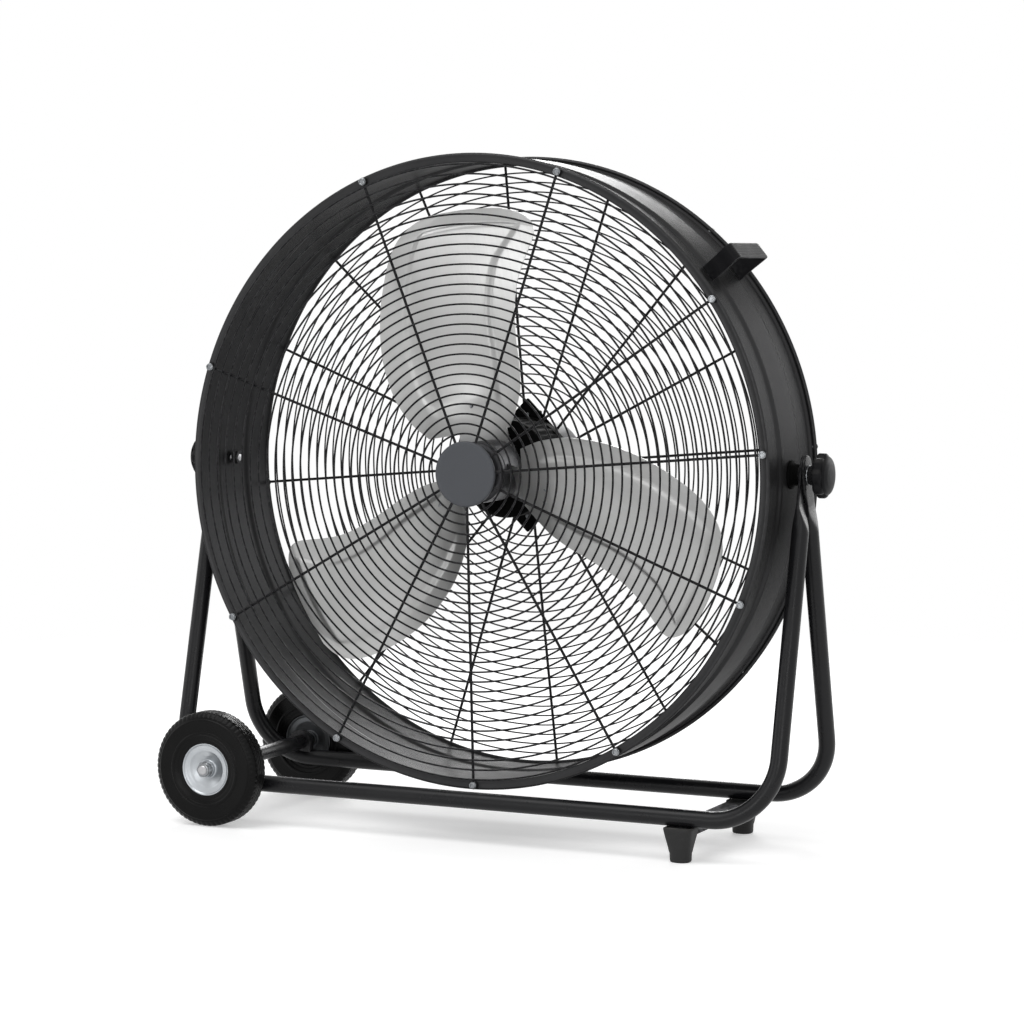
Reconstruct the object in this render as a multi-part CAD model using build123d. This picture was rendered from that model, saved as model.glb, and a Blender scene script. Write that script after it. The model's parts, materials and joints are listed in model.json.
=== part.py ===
"""Drum fan on a wheeled tube frame, written as one STEP file per piece.

Frame of reference, in millimetres: X runs along the tilt pivots, the fan blows towards -Y,
Z is up, and the origin lies on the floor under the middle of the drum.
"""

import os
from math import atan, atan2, cos, degrees, hypot, pi, sin, sqrt, tan

from build123d import *

# ---------------------------------------------------------------- driving sizes
# Drum
drum_radius = 402.0  # outside of the rolled wall
drum_depth = 181.0  # from rim to rim
drum_wall = 1.5
rim_height = 7.0  # how far each rim stands out from the wall
rim_flange = 5.0  # how far each rim turns in from the wall
rim_width = 8.0
swage_offset = 32.0  # each pressed ridge, from the middle of the drum
swage_half_width = 6.0
swage_height = 3.0

# Frame
tube_diameter = 22.0
tube_bend_radius = 82.0  # to the tube's centre line
half_stance = 108.0  # centre of each bottom run, from the middle
foot_height = 33.0  # floor to the underside of the crossbar
crossbar_depth = 11.0
crossbar_width = 30.0
crossbar_wall = 2.0
crossbar_inset = 122.0  # crossbar's middle, in from the legs
foot_top_length = 41.0
foot_sole_length = 27.0
foot_top_width = 34.0
foot_sole_width = 25.0
foot_top_corner = 5.0
foot_sole_corner = 7.6
pivot_rise = 5.0  # the pivots sit above the drum's axis, so that the drum hangs level
tilt_clearance = 3.0  # rim to bottom tube as the drum turns over
side_clearance = 4.0  # rim to leg
flat_thickness = 4.0  # flattened tube end
flat_half_width = 15.0
flat_overrun = 10.0  # flat beyond the pivot, before its rounded tip
flat_length = 36.0  # flat below the pivot
flat_blend = 40.0  # from the flat to the round tube

# Tilt pivots
stud_diameter = 10.0
stud_clearance = 0.5  # stud in the flattened ends
boss_radius = 13.5
boss_flange_radius = 18.0
boss_flange = 3.0
pivot_washer = 2.0
knob_washer = 1.6
pivot_nut_flats = 17.0
pivot_nut_height = 8.0
knob_length = 29.0
knob_neck = 8.0
knob_neck_radius = 12.5
knob_radius = 28.4
knob_dome = 5.0
knob_lobes = 8
knob_scallop = 3.6  # depth of the hollows between the lobes

# Wheels
wheel_radius = 76.2
wheel_width = 38.0
wheel_inset = 67.0  # axle, in from the legs
wheel_gap = 2.0  # frame tube to tyre
tread_half_width = 12.5
tyre_shoulder = 11.0  # how far the shoulder drops from the tread
rim_seat_radius = 34.9
rim_recess = 4.0  # rim edge behind the tyre's side
rim_lip = 1.8
wheel_hub_radius = 10.5
wheel_hub_half_length = 12.0
bush_wall = 1.8
axle_diameter = 12.7
axle_tube_diameter = 20.0
axle_bracket_thickness = 5.0
axle_bracket_half_width = 17.0
axle_washer = 1.6
axle_washer_radius = 10.5
axle_nut_flats = 19.0
axle_nut_height = 8.0
axle_end = 2.0  # axle beyond its nut

# Guards
wire_diameter = 2.6
spoke_diameter = 3.6
ring_pitch = 12.7
front_ring_first = 52.0
rear_ring_first = 96.0
spoke_gap = 1.0  # rear cover to the rear spokes
spoke_overlap = 6.0  # spokes behind the badge
guard_dome = 5.0  # front guard's middle, ahead of its edge
badge_radius = 42.2
badge_thickness = 5.0
front_spoke_degrees = [5.0, 34.0, 72.0, 112.0, 161.0, 210.0, 241.5, 271.0, 301.0, 338.0]
rear_spoke_degrees = [
    5.0, 28.0, 50.0, 72.0, 95.0, 114.0, 137.0, 158.0,
    185.0, 207.0, 230.0, 253.0, 276.0, 302.0, 320.0, 338.0,
]
guard_screw_flats = 8.0
guard_screw_head = 2.6
guard_screw_diameter = 4.0
guard_screw_length = 7.0
rear_screw_count = 8

# Handle
handle_degrees = 39.5
handle_reach = 48.0  # outside of the grip from the drum's wall
handle_length = 108.0
handle_width = 22.0
handle_thickness = 5.0
handle_foot_offset = 47.0
handle_screw_diameter = 3.0
handle_screw_head_radius = 4.0
handle_screw_head = 2.2
handle_screw_length = 20.0

# Motor, carried by the rear guard
motor_radius = 65.0
motor_front = 8.0  # Y of the motor's front face
motor_wall = 3.0
motor_plate_radius = 90.0  # out to its corners
motor_plate_thickness = 3.0
rear_cover_radius = 62.0
rear_cover_length = 55.0
motor_chamfer = 7.0
stator_length = 45.0
stator_wall = 24.0
rotor_air_gap = 0.6
rotor_length = 48.0
shaft_diameter = 15.0
shaft_hole_gap = 2.0
shaft_inset = 2.0  # shaft's end behind the hub's face
bearing_radius = 17.5
bearing_width = 11.0
bearing_seat_wall = 4.0
clamp_screw_diameter = 5.0
clamp_screw_flats = 8.0
clamp_screw_head = 3.5
clamp_screw_tip = 1.0  # beyond the plate
clamp_screw_inset = 22.0  # from the plate's corners
clamp_length = 34.0
clamp_width = 10.0
clamp_thickness = 2.5
switch_size = 34.0
switch_depth = 28.0
capacitor_radius = 16.0
capacitor_length = 40.0
speed_knob_radius = 17.0
speed_knob_length = 12.0
speed_ridge_width = 6.0
speed_ridge_inset = 1.0
spindle_radius = 4.0
gland_radius = 9.0
gland_length = 16.0
gland_bore_radius = 4.0
gland_shoulder = 2.0
gland_inside = 4.0  # stem beyond the cover's wall

# Impeller
blade_count = 3
blade_tip_radius = 340.0
# Stations from root to tip: reach, leading edge and trailing edge from the blade's axis
blade_stations = [
    (52.0, 29.0, 56.0), (96.0, 50.0, 87.0), (128.0, 56.0, 98.0), (172.0, 60.0, 104.0),
    (220.0, 68.0, 102.0), (264.0, 91.0, 91.0), (300.0, 110.0, 73.0),
]
blade_tip_lead = 88.0  # where the round tip ends on each side of the blade's axis
blade_tip_trail = 35.0
blade_thickness = 1.6
blade_plane = -30.0  # Y of the blades' twist axis
blade_lead = 70.0  # sets the pitch, which eases towards the tip
blade_lead_offset = 30.0
blade_camber = 8.0  # how far the face bows at this far across the blade
blade_camber_width = 117.5
first_blade_degrees = 100.0
hub_radius = 40.0
hub_front = -76.0
hub_back = -10.0
hub_chamfer = 4.0
arm_thickness = 4.0
arm_reach = 96.0
arm_half_width = 24.0
rivet_diameter = 8.0
rivet_head = 1.5
rivet_inset = 9.0
rivet_sides = 8
hub_screw_diameter = 8.0
hub_screw_out = 24.0  # its outer end, from the axis

# Facets: round pieces are turned in flat sides
fewest_sides = 12
sides_factor = 0.6
tube_sides = 16
ring_side_step = 200.0  # a guard ring gets two more sides for each of these in radius
bend_steps = 5  # straight stretches in each bend of a frame tube

# Clearances
seat = 0.2  # between pieces that rest on each other
running = 0.05  # radial, shaft in bearing
fit = 0.1  # radial, between fixed round pieces

# ---------------------------------------------------------------- places worked out
tube_radius = tube_diameter / 2
run_height = foot_height + crossbar_depth + tube_radius + seat
rim_radius = drum_radius + rim_height
half_depth = drum_depth / 2
screw_circle = drum_radius + (rim_height - rim_flange) / 2
rim_corner = hypot(rim_radius + pivot_rise, half_depth + guard_screw_head)
run_drop = sqrt((rim_corner + tilt_clearance + tube_radius) ** 2 - half_stance**2)
pivot_height = run_height + run_drop
axis_height = pivot_height - pivot_rise
leg_x = rim_radius + side_clearance + tube_radius
leg_slope = hypot(half_stance, run_drop)
crossbar_x = leg_x - crossbar_inset
wheel_x = wheel_inset - leg_x

inner_flat_x = leg_x - seat / 2 - flat_thickness / 2
outer_flat_x = leg_x + seat / 2 + flat_thickness / 2
pivot_washer_x = inner_flat_x - flat_thickness / 2 - seat - pivot_washer
boss_end_x = pivot_washer_x - seat
knob_washer_x = outer_flat_x + flat_thickness / 2 + seat
knob_x = knob_washer_x + knob_washer + seat
stud_radius = stud_diameter / 2

wheel_inner_y = half_stance + tube_radius + wheel_gap
wheel_y = wheel_inner_y + wheel_width / 2
axle_radius = axle_diameter / 2
bush_radius = axle_radius + running + bush_wall
hub_end_y = wheel_y + wheel_hub_half_length
axle_washer_y = hub_end_y + seat
axle_nut_y = axle_washer_y + axle_washer + seat
axle_end_y = axle_nut_y + axle_nut_height + axle_end

front_spoke_y = -half_depth - seat - spoke_diameter / 2
rear_spoke_y = half_depth + seat + spoke_diameter / 2
last_ring_limit = drum_radius - rim_flange

motor_plate_y = half_depth - motor_plate_thickness
rear_cover_y = half_depth + seat
rear_cover_end = rear_cover_y + rear_cover_length
shaft_radius = shaft_diameter / 2
shaft_hole_radius = shaft_radius + shaft_hole_gap
rotor_radius = motor_radius - motor_wall - stator_wall - rotor_air_gap
stator_y = (motor_front + motor_plate_y) / 2
gland_y = rear_cover_y + rear_cover_length / 2
gland_stem_radius = gland_radius - gland_shoulder
handle_foot_x = sqrt(drum_radius**2 - (handle_width / 2) ** 2) + 2 * seat

rear_screw_degrees = rear_spoke_degrees[::len(rear_spoke_degrees) // rear_screw_count]

blade_root_radius = blade_stations[0][0]
rivet_places = [(arm_reach - rivet_inset, rivet_inset), (arm_reach - rivet_inset, -rivet_inset)]
hub_screw_y = hub_front + (hub_back - hub_front) / 4


# ---------------------------------------------------------------- helpers
def sides_of(radius):
    """How many flat sides stand for a circle, always a multiple of four."""
    return max(fewest_sides, 4 * round(sides_factor * sqrt(radius)))


def flats_at(radius, sides):
    """The corner radius of a bore whose flat sides lie at the given radius."""
    return radius / cos(pi / sides)


def polyhedron(faces):
    """A solid from flat faces, each a list of corners."""
    return Solid(Shell([Face(Wire.make_polygon(corners)) for corners in faces]))


def turned_y(points, sides=None):
    """Turn a profile of (radius, y) points about the Y axis, in flat facets."""
    count = sides or sides_of(max(radius for radius, y in points))
    faces = []
    for index in range(count):
        for here, there in zip(points, points[1:] + points[:1]):
            corners = []
            for step, (radius, y) in ((0, here), (1, here), (1, there), (0, there)):
                angle = 2 * pi * (index + step) / count
                corner = (radius * cos(angle), y, radius * sin(angle))
                if radius > 0 or corner not in corners:
                    corners.append(corner)
            if len(corners) > 2:
                faces.append(corners)
    return polyhedron(faces)


def turned_x(points):
    """Turn a profile of (x, radius) points about the X axis, in flat facets."""
    return Rot(0, 0, -90) * turned_y([(radius, x) for x, radius in points])


def disc_y(radius, start, end):
    """A round bar about the Y axis."""
    return Plane((0, start, 0), z_dir=(0, 1, 0)) * extrude(
        RegularPolygon(radius, sides_of(radius)), end - start
    )


def disc_x(radius, start, end):
    """A round bar about the X axis."""
    return Plane((start, 0, 0), z_dir=(1, 0, 0)) * extrude(
        RegularPolygon(radius, sides_of(radius)), end - start
    )


def disc_z(radius, start, end):
    """A round bar about the Z axis."""
    return Pos(0, 0, start) * extrude(RegularPolygon(radius, sides_of(radius)), end - start)


def bore_y(radius, start, end):
    """The bar that cuts a bore about the Y axis."""
    return disc_y(flats_at(radius, sides_of(radius)), start, end)


def bore_x(radius, start, end):
    """The bar that cuts a bore about the X axis."""
    return disc_x(flats_at(radius, sides_of(radius)), start, end)


def on_axis(shape):
    """Lift a piece that is built about the origin to the drum's axis."""
    return Pos(0, 0, axis_height) * shape


def on_pivot(shape):
    """Lift a piece that is built about the X axis to the pivots."""
    return Pos(0, 0, pivot_height) * shape


def turned_to(angle, shape):
    """Turn a piece about the Y axis, counterclockwise as seen from the front."""
    return Rot(0, -angle, 0) * shape


def hex_y(flats, start, end):
    """A hexagonal prism about the Y axis."""
    return Plane((0, start, 0), z_dir=(0, 1, 0)) * extrude(
        RegularPolygon(flats / 2, 6, major_radius=False), end - start
    )


def fused(shapes):
    """Join pieces that overlap into one solid."""
    whole = shapes[0]
    for other in shapes[1:]:
        whole = whole + other
    return whole


# ---------------------------------------------------------------- frame
def leg_plane(side):
    """The leaning plane of one bent tube, with its x along X and its y down the leg."""
    down = Vector(0, side * half_stance, -run_drop).normalized()
    return Plane((0, 0, pivot_height), x_dir=(1, 0, 0), z_dir=Vector(1, 0, 0).cross(down))


def flattened_end(x_sign, flat_x):
    """A tube end pressed flat round the pivot stud, tapered back to the round tube."""
    outline = Pos((flat_length - flat_overrun) / 2, 0) * Rectangle(
        flat_length + flat_overrun, 2 * flat_half_width
    )
    outline = outline + Pos(-flat_overrun, 0) * RegularPolygon(flat_half_width, tube_sides)
    hole = stud_radius + stud_clearance
    outline = outline - RegularPolygon(flats_at(hole, tube_sides), tube_sides)
    plate = Pos(x_sign * flat_x - flat_thickness / 2, 0, 0) * extrude(
        Plane((0, 0, 0), x_dir=(0, 1, 0), z_dir=(1, 0, 0)) * outline, flat_thickness
    )
    pressed = [
        (x_sign * flat_x + x, flat_length, z) for x, z in
        octagon(flat_thickness / 2, flat_half_width, flat_thickness / 4)
    ]
    corner = tube_radius * (1 - tan(pi / 8))
    full = [
        (x_sign * leg_x + x, flat_length + flat_blend, z) for x, z in
        octagon(tube_radius, tube_radius, corner)
    ]
    return plate + tapered(pressed, full)


def tapered(start, end):
    """A solid between two flat loops with as many corners as each other."""
    faces = [start, end]
    for index in range(len(start)):
        faces.append([start[index - 1], start[index], end[index]])
        faces.append([start[index - 1], end[index], end[index - 1]])
    return polyhedron(faces)


def octagon(half_x, half_z, corner):
    """The corners of a rectangle with cut corners."""
    return [
        (half_x, half_z - corner), (half_x - corner, half_z), (corner - half_x, half_z),
        (-half_x, half_z - corner), (-half_x, corner - half_z), (corner - half_x, -half_z),
        (half_x - corner, -half_z), (half_x, corner - half_z),
    ]


def bend_points(x_sign):
    """The stations of one bottom corner, down the leg and round to the run."""
    middle_x = leg_x - tube_bend_radius
    middle_y = leg_slope - tube_bend_radius
    turns = [pi / 2 * index / bend_steps for index in range(bend_steps + 1)]
    return [
        (x_sign * (middle_x + tube_bend_radius * cos(turn)), middle_y + tube_bend_radius * sin(turn))
        for turn in turns
    ]


def pipe(path, radius):
    """A round bar along a flat path, mitred at every station."""
    rings = []
    for index, (x, y) in enumerate(path):
        before = path[max(index - 1, 0)]
        after = path[min(index + 1, len(path) - 1)]
        turn_in = atan2(y - before[1], x - before[0])
        turn_out = atan2(after[1] - y, after[0] - x)
        if index == 0:
            turn_in = turn_out
        if index == len(path) - 1:
            turn_out = turn_in
        turn = (turn_in + turn_out) / 2
        stretch = 1 / cos((turn_out - turn_in) / 2)
        ring = []
        for side in range(tube_sides):
            angle = 2 * pi * side / tube_sides
            across = radius * cos(angle) * stretch
            ring.append((x - across * sin(turn), y + across * cos(turn), radius * sin(angle)))
        rings.append(ring)
    faces = [rings[0], rings[-1]]
    for one, two in zip(rings, rings[1:]):
        for side in range(tube_sides):
            following = (side + 1) % tube_sides
            faces.append([one[side], one[following], two[following], two[side]])
    return polyhedron(faces)


def frame_tube(side, flat_x):
    """One tube bent into a wide U, from pivot to pivot along the floor."""
    start = flat_length + flat_blend
    path = [(leg_x, start)] + bend_points(1) + bend_points(-1)[::-1] + [(-leg_x, start)]
    tube = fused([pipe(path, tube_radius), flattened_end(1, flat_x), flattened_end(-1, flat_x)])
    return leg_plane(side) * tube - other_tube_space(side)


def other_tube_space(side):
    """The space between the legs, below the stacked flats, that the other tube may fill."""
    lean = half_stance / leg_slope
    start = pivot_height - flat_length * run_drop / leg_slope + flat_half_width * lean
    return Pos(0, side * seat / 2, start) * Box(
        3 * leg_x, half_stance, flat_length + flat_blend,
        align=(Align.CENTER, Align.MIN if side < 0 else Align.MAX, Align.MAX),
    )


def foot_crossbar():
    """An open-bottomed channel under both bottom runs."""
    length = 2 * (half_stance + tube_radius)
    bar = Box(crossbar_width, length, crossbar_depth)
    bar = bar - Pos(0, 0, -crossbar_wall) * Box(
        crossbar_width - 2 * crossbar_wall, length, crossbar_depth
    )
    return Pos(crossbar_x, 0, foot_height + crossbar_depth / 2) * bar


def foot(side):
    """A tapered foot with a pocket for the end of the crossbar."""
    top = foot_height + crossbar_depth - seat
    sole = octagon(foot_sole_length / 2, foot_sole_width / 2, foot_sole_corner)
    rim = octagon(foot_top_length / 2, foot_top_width / 2, foot_top_corner)
    body = tapered([(x, y, 0) for x, y in sole], [(x, y, top) for x, y in rim])
    slot = Box(
        crossbar_width + 2 * seat, foot_top_width + tube_radius + seat,
        crossbar_depth + 2 * seat, align=(Align.CENTER, Align.MIN, Align.CENTER),
    )
    slot = Pos(0, -foot_top_width, foot_height + crossbar_depth / 2) * slot
    body = body - (slot if side > 0 else mirror(slot, about=Plane.XZ))
    tongue = Box(
        crossbar_width - 2 * crossbar_wall - 2 * seat, foot_top_width / 2,
        crossbar_depth - crossbar_wall - seat,
        align=(Align.CENTER, Align.CENTER, Align.MIN),
    )
    body = body + Pos(0, 0, foot_height - seat) * tongue
    return Pos(crossbar_x, side * half_stance, 0) * body


def axle_place(shape):
    """Move a piece built about the Y axis to the axle."""
    return Pos(wheel_x, 0, wheel_radius) * shape


def axle_tube():
    """The spacer tube that carries the axle across the frame."""
    end = wheel_y - wheel_hub_half_length - seat
    tube = disc_y(axle_tube_diameter / 2, -end, end) - bore_y(axle_radius + fit, -end, end)
    return axle_place(tube) - frame_tube_envelope(-1) - frame_tube_envelope(1)


def axle_rod():
    """The steel axle, threaded at its ends."""
    return axle_place(disc_y(axle_radius, -axle_end_y, axle_end_y))


def axle_bracket(side):
    """A plate that hugs the bottom run and carries the axle tube."""
    y = side * (half_stance - axle_bracket_thickness / 2)
    thickness = 2 * axle_bracket_thickness
    height = wheel_radius - run_height
    plate = Box(
        2 * axle_bracket_half_width, thickness, height, align=(Align.CENTER, Align.CENTER, Align.MAX)
    )
    plate = plate + disc_y(axle_bracket_half_width, -thickness / 2, thickness / 2)
    plate = Pos(wheel_x, y, wheel_radius) * plate
    bore = bore_y(axle_tube_diameter / 2 + fit, -2 * half_stance, 2 * half_stance)
    return plate - axle_place(bore) - frame_tube_envelope(side)


def frame_tube_envelope(side):
    """The bottom left corner of a bent tube with its seat clearance, to cut what hugs it."""
    path = [(0, leg_slope)] + bend_points(-1)[::-1]
    return leg_plane(side) * pipe(path, tube_radius + seat)


def on_both_ends(shape):
    """A piece at the front end of the axle, and its copy at the rear end."""
    return Compound([axle_place(shape), axle_place(mirror(shape, about=Plane.XZ))])


def axle_washers():
    """A washer outside each wheel."""
    end = axle_washer_y + axle_washer
    ring = disc_y(axle_washer_radius, axle_washer_y, end)
    return on_both_ends(ring - bore_y(axle_radius + fit, axle_washer_y, end))


def axle_nuts():
    """A lock nut outside each washer."""
    end = axle_nut_y + axle_nut_height
    nut = hex_y(axle_nut_flats, axle_nut_y, end)
    return on_both_ends(nut - bore_y(axle_radius + fit, axle_nut_y, end))


# ---------------------------------------------------------------- wheels
def tyre(side):
    """A solid rubber tyre with a flat tread and sloping shoulders."""
    half = wheel_width / 2
    shoulder = wheel_radius - tyre_shoulder
    inside = flats_at(rim_seat_radius + fit, sides_of(wheel_radius))
    points = [
        (inside, -half + rim_recess), (shoulder, -half),
        (wheel_radius, -tread_half_width), (wheel_radius, tread_half_width),
        (shoulder, half), (inside, half - rim_recess),
    ]
    return axle_place(Pos(0, side * wheel_y, 0) * turned_y(points))


def wheel_rim(side):
    """A dished steel rim with its hub."""
    half = wheel_width / 2 - rim_recess
    lip = rim_seat_radius - rim_lip
    waist = wheel_hub_half_length / 2
    outer = [(rim_seat_radius, half), (lip, half), (wheel_hub_radius, waist)]
    hub = [(wheel_hub_radius, wheel_hub_half_length), (0, wheel_hub_half_length)]
    points = outer + hub + [(radius, -y) for radius, y in reversed(outer + hub)]
    rim = turned_y(points) - bore_y(bush_radius + fit, -wheel_width, wheel_width)
    return axle_place(Pos(0, side * wheel_y, 0) * rim)


def wheel_bush(side):
    """The plain bush between hub and axle."""
    half = wheel_hub_half_length
    ring = disc_y(bush_radius, -half, half) - bore_y(axle_radius + running, -half, half)
    return axle_place(Pos(0, side * wheel_y, 0) * ring)


# ---------------------------------------------------------------- drum
def drum_profile():
    """The rear half of the wall's section, from the middle outside to the middle inside."""
    inside = drum_radius - drum_wall
    return [
        (drum_radius + swage_height, swage_offset), (drum_radius, swage_offset + swage_half_width),
        (drum_radius, half_depth - rim_width), (rim_radius, half_depth - rim_width / 2),
        (rim_radius, half_depth), (drum_radius - rim_flange, half_depth),
        (drum_radius - rim_flange, half_depth - drum_wall), (inside, half_depth - rim_width),
    ]


def drum_shell():
    """The rolled drum with its two rims, drilled for the pivot studs and the handle's screws."""
    half = drum_profile()
    shell = on_axis(turned_y(half + [(radius, -y) for radius, y in reversed(half)]))
    shell = shell - on_pivot(bore_x(stud_radius + fit, -rim_radius, rim_radius))
    for hole in at_handle_feet(handle_bore(drum_radius / 2, rim_radius)):
        shell = shell - handle_place(hole)
    return shell


def pivot_boss(side):
    """The spacer that stands the frame off the drum, with a flange saddled on the wall."""
    root = drum_radius - boss_flange
    flange_x = drum_radius + swage_height + boss_flange
    boss = turned_x([
        (root, 0), (root, boss_flange_radius), (flange_x, boss_flange_radius),
        (flange_x, boss_radius), (boss_end_x, boss_radius), (boss_end_x, 0),
    ])
    boss = on_pivot(boss - bore_x(stud_radius + fit, root, boss_end_x))
    outline = RegularPolygon(drum_radius + swage_height + seat, sides_of(rim_radius))
    boss = boss - on_axis(Rot(-90, 0, 0) * extrude(outline, half_depth / 2, both=True))
    return boss if side > 0 else mirror(boss, about=Plane.YZ)


def on_both_sides(shape):
    """A piece at the right pivot, and its copy at the left one."""
    right = on_pivot(shape)
    return Compound([right, mirror(right, about=Plane.YZ)])


def pivot_washers():
    """The friction washer between each boss and the frame."""
    end = pivot_washer_x + pivot_washer
    return on_both_sides(
        disc_x(boss_radius, pivot_washer_x, end) - bore_x(stud_radius + fit, pivot_washer_x, end)
    )


def knob_washers():
    """The steel washer under each knob."""
    end = knob_washer_x + knob_washer
    return on_both_sides(
        disc_x(knob_neck_radius, knob_washer_x, end) - bore_x(stud_radius + fit, knob_washer_x, end)
    )


def pivot_nuts():
    """The nut welded inside the wall at each pivot."""
    wall = (drum_radius - drum_wall) * cos(pi / sides_of(rim_radius))
    end = sqrt(wall**2 - (pivot_rise + pivot_nut_flats / 2) ** 2) - seat
    start = end - pivot_nut_height
    nut = Plane((start, 0, 0), z_dir=(1, 0, 0)) * extrude(
        RegularPolygon(pivot_nut_flats / 2, 6, major_radius=False), end - start
    )
    return on_both_sides(nut - bore_x(stud_radius + fit, start, end))


def knob_grip():
    """The scalloped grip of a tilt knob, about the X axis."""
    start = knob_x + knob_neck
    crown = knob_x + knob_length - knob_dome
    corners = []
    for index in range(4 * knob_lobes):
        radius = knob_radius if index % 4 < 2 else knob_radius - knob_scallop
        angle = 2 * pi * (index + 0.5) / (4 * knob_lobes)
        corners.append((radius * cos(angle), radius * sin(angle)))
    outline = make_face(Polyline(*corners, close=True))
    grip = Plane((start, 0, 0), z_dir=(1, 0, 0)) * extrude(outline, crown - start)
    foot = knob_radius - knob_scallop
    dome = turned_x([
        (crown - knob_dome, 0), (crown - knob_dome, foot), (crown, foot),
        (knob_x + knob_length, foot / 2), (knob_x + knob_length, 0),
    ])
    return grip + dome


def tilt_knob(side):
    """A clamping knob: grip, neck and a blind hole for its stud."""
    neck = disc_x(knob_neck_radius, knob_x, knob_x + knob_neck)
    knob = knob_grip() + neck - bore_x(stud_radius + fit, knob_x, knob_x + knob_length / 2)
    knob = on_pivot(knob)
    return knob if side > 0 else mirror(knob, about=Plane.YZ)


def tilt_stud(side):
    """The threaded stud of a tilt knob, through frame, boss and wall into its nut."""
    stud = on_pivot(disc_x(
        stud_radius, drum_radius - drum_wall - pivot_nut_height - 2 * seat - stud_radius / 2,
        knob_x + knob_length / 2 - seat,
    ))
    return stud if side > 0 else mirror(stud, about=Plane.YZ)


# ---------------------------------------------------------------- guards
def wire_ring(radius, y, sides):
    """One guard ring of three-sided wire, bent into a polygon about the Y axis."""
    half = wire_diameter / 2
    section = [(radius - half, y + half), (radius + half, y + half), (radius, y - half)]

    def corner(index, point):
        angle = 2 * pi * index / sides
        return (point[0] * cos(angle), point[1], point[0] * sin(angle))

    faces = []
    for index in range(sides):
        for here, there in zip(section, section[1:] + section[:1]):
            faces.append(Face(Wire.make_polygon([
                corner(index, here), corner(index + 1, here),
                corner(index + 1, there), corner(index, there),
            ])))
    return Solid(Shell(faces))


def ring_sides(radius):
    """How many straight stretches stand for one round ring."""
    return 8 + 2 * int(radius / ring_side_step)


def guard_rings(first, y_at):
    """The concentric rings of a guard, one pitch apart."""
    count = int((last_ring_limit - first) / ring_pitch) + 1
    radii = [first + ring_pitch * index for index in range(count)]
    return [wire_ring(radius, y_at(radius), ring_sides(radius)) for radius in radii]


def spoke(angle, inner, inner_y, outer_y):
    """A straight spoke from the middle of a guard to its screw, whose head clamps it."""
    length = screw_circle - guard_screw_diameter / 2 - fit - inner
    lean = degrees(atan((outer_y - inner_y) / length))
    bar = Box(length, spoke_diameter, spoke_diameter, align=(Align.MIN, Align.CENTER, Align.CENTER))
    return turned_to(angle, Pos(inner, inner_y, 0) * Rot(0, 0, lean) * bar)


def front_guard_y(radius):
    """Y of the front guard's rings, ahead of the spokes."""
    share = (radius - badge_radius) / (screw_circle - badge_radius)
    return front_spoke_y - guard_dome * (1 - share) - (spoke_diameter + wire_diameter) / 2 - seat


def front_guard():
    """The front guard: rings in front of slightly dished spokes."""
    spokes = [
        spoke(angle, badge_radius - spoke_overlap, front_spoke_y - guard_dome, front_spoke_y)
        for angle in front_spoke_degrees
    ]
    return on_axis(Compound(guard_rings(front_ring_first, front_guard_y) + spokes))


def rear_guard():
    """The rear guard: flat, with its spokes run in over the motor plate."""
    ring_y = rear_spoke_y + (spoke_diameter + wire_diameter) / 2 + seat
    rings = guard_rings(rear_ring_first, lambda radius: ring_y)
    inner = rear_cover_radius + spoke_gap
    spokes = [
        spoke(angle, inner, rear_spoke_y, rear_spoke_y)
        for angle in rear_spoke_degrees
    ]
    return on_axis(Compound(rings + spokes))


def guard_badge():
    """The plain disc over the middle of the front guard."""
    back = front_spoke_y - guard_dome - spoke_diameter / 2 - seat
    return on_axis(disc_y(badge_radius, back - badge_thickness, back))


def guard_screws(angles, side):
    """Hexagon-headed screws through the spokes' eyes into a rim."""
    screw = hex_y(guard_screw_flats, 0, guard_screw_head)
    screw = screw + hex_y(guard_screw_diameter, -guard_screw_length, 0)
    screw = Pos(screw_circle, half_depth + spoke_diameter + 2 * seat, 0) * screw
    if side < 0:
        screw = mirror(screw, about=Plane.XZ)
    return on_axis(Compound([turned_to(angle, screw) for angle in angles]))


# ---------------------------------------------------------------- handle
def handle_place(shape):
    """Turn a piece built along +X out to the handle's place on the drum."""
    return on_axis(turned_to(handle_degrees, shape))


def at_handle_feet(bar):
    """Two copies of a radial bar, one at each foot of the handle."""
    return [Pos(0, y, 0) * bar for y in (-handle_foot_offset, handle_foot_offset)]


def handle():
    """A strap handle that stands off the wall on two legs."""
    top_x = drum_radius + handle_reach
    half = handle_length / 2
    inset = half - handle_thickness
    foot_out = handle_foot_offset + handle_thickness / 2
    foot_in = handle_foot_offset - handle_thickness / 2
    outline = [
        (handle_foot_x, -foot_out), (top_x, -half), (top_x, half), (handle_foot_x, foot_out),
        (handle_foot_x, foot_in), (top_x - handle_thickness, inset),
        (top_x - handle_thickness, -inset), (handle_foot_x, -foot_in),
    ]
    strap = extrude(make_face(Polyline(*outline, close=True)), handle_width / 2, both=True)
    corners = strap.edges().filter_by(Axis.Z).sort_by(Axis.X)[-2:]
    strap = chamfer(corners, handle_thickness / 2)
    for hole in at_handle_feet(handle_bore(handle_foot_x, handle_foot_x + handle_screw_length)):
        strap = strap - hole
    return handle_place(strap)


def handle_bore(start, end):
    """The bar that cuts a hole for one of the handle's screws."""
    return bore_x(handle_screw_diameter / 2 + fit, start, end)


def handle_screws():
    """The two pan-headed screws from inside the drum into the handle's feet."""
    under = (drum_radius - drum_wall) * cos(pi / sides_of(rim_radius)) - seat
    head = disc_x(handle_screw_head_radius, under - handle_screw_head, under)
    shank = disc_x(handle_screw_diameter / 2, under, handle_foot_x + handle_screw_length - seat)
    return handle_place(Compound(at_handle_feet(head + shank)))


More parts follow.
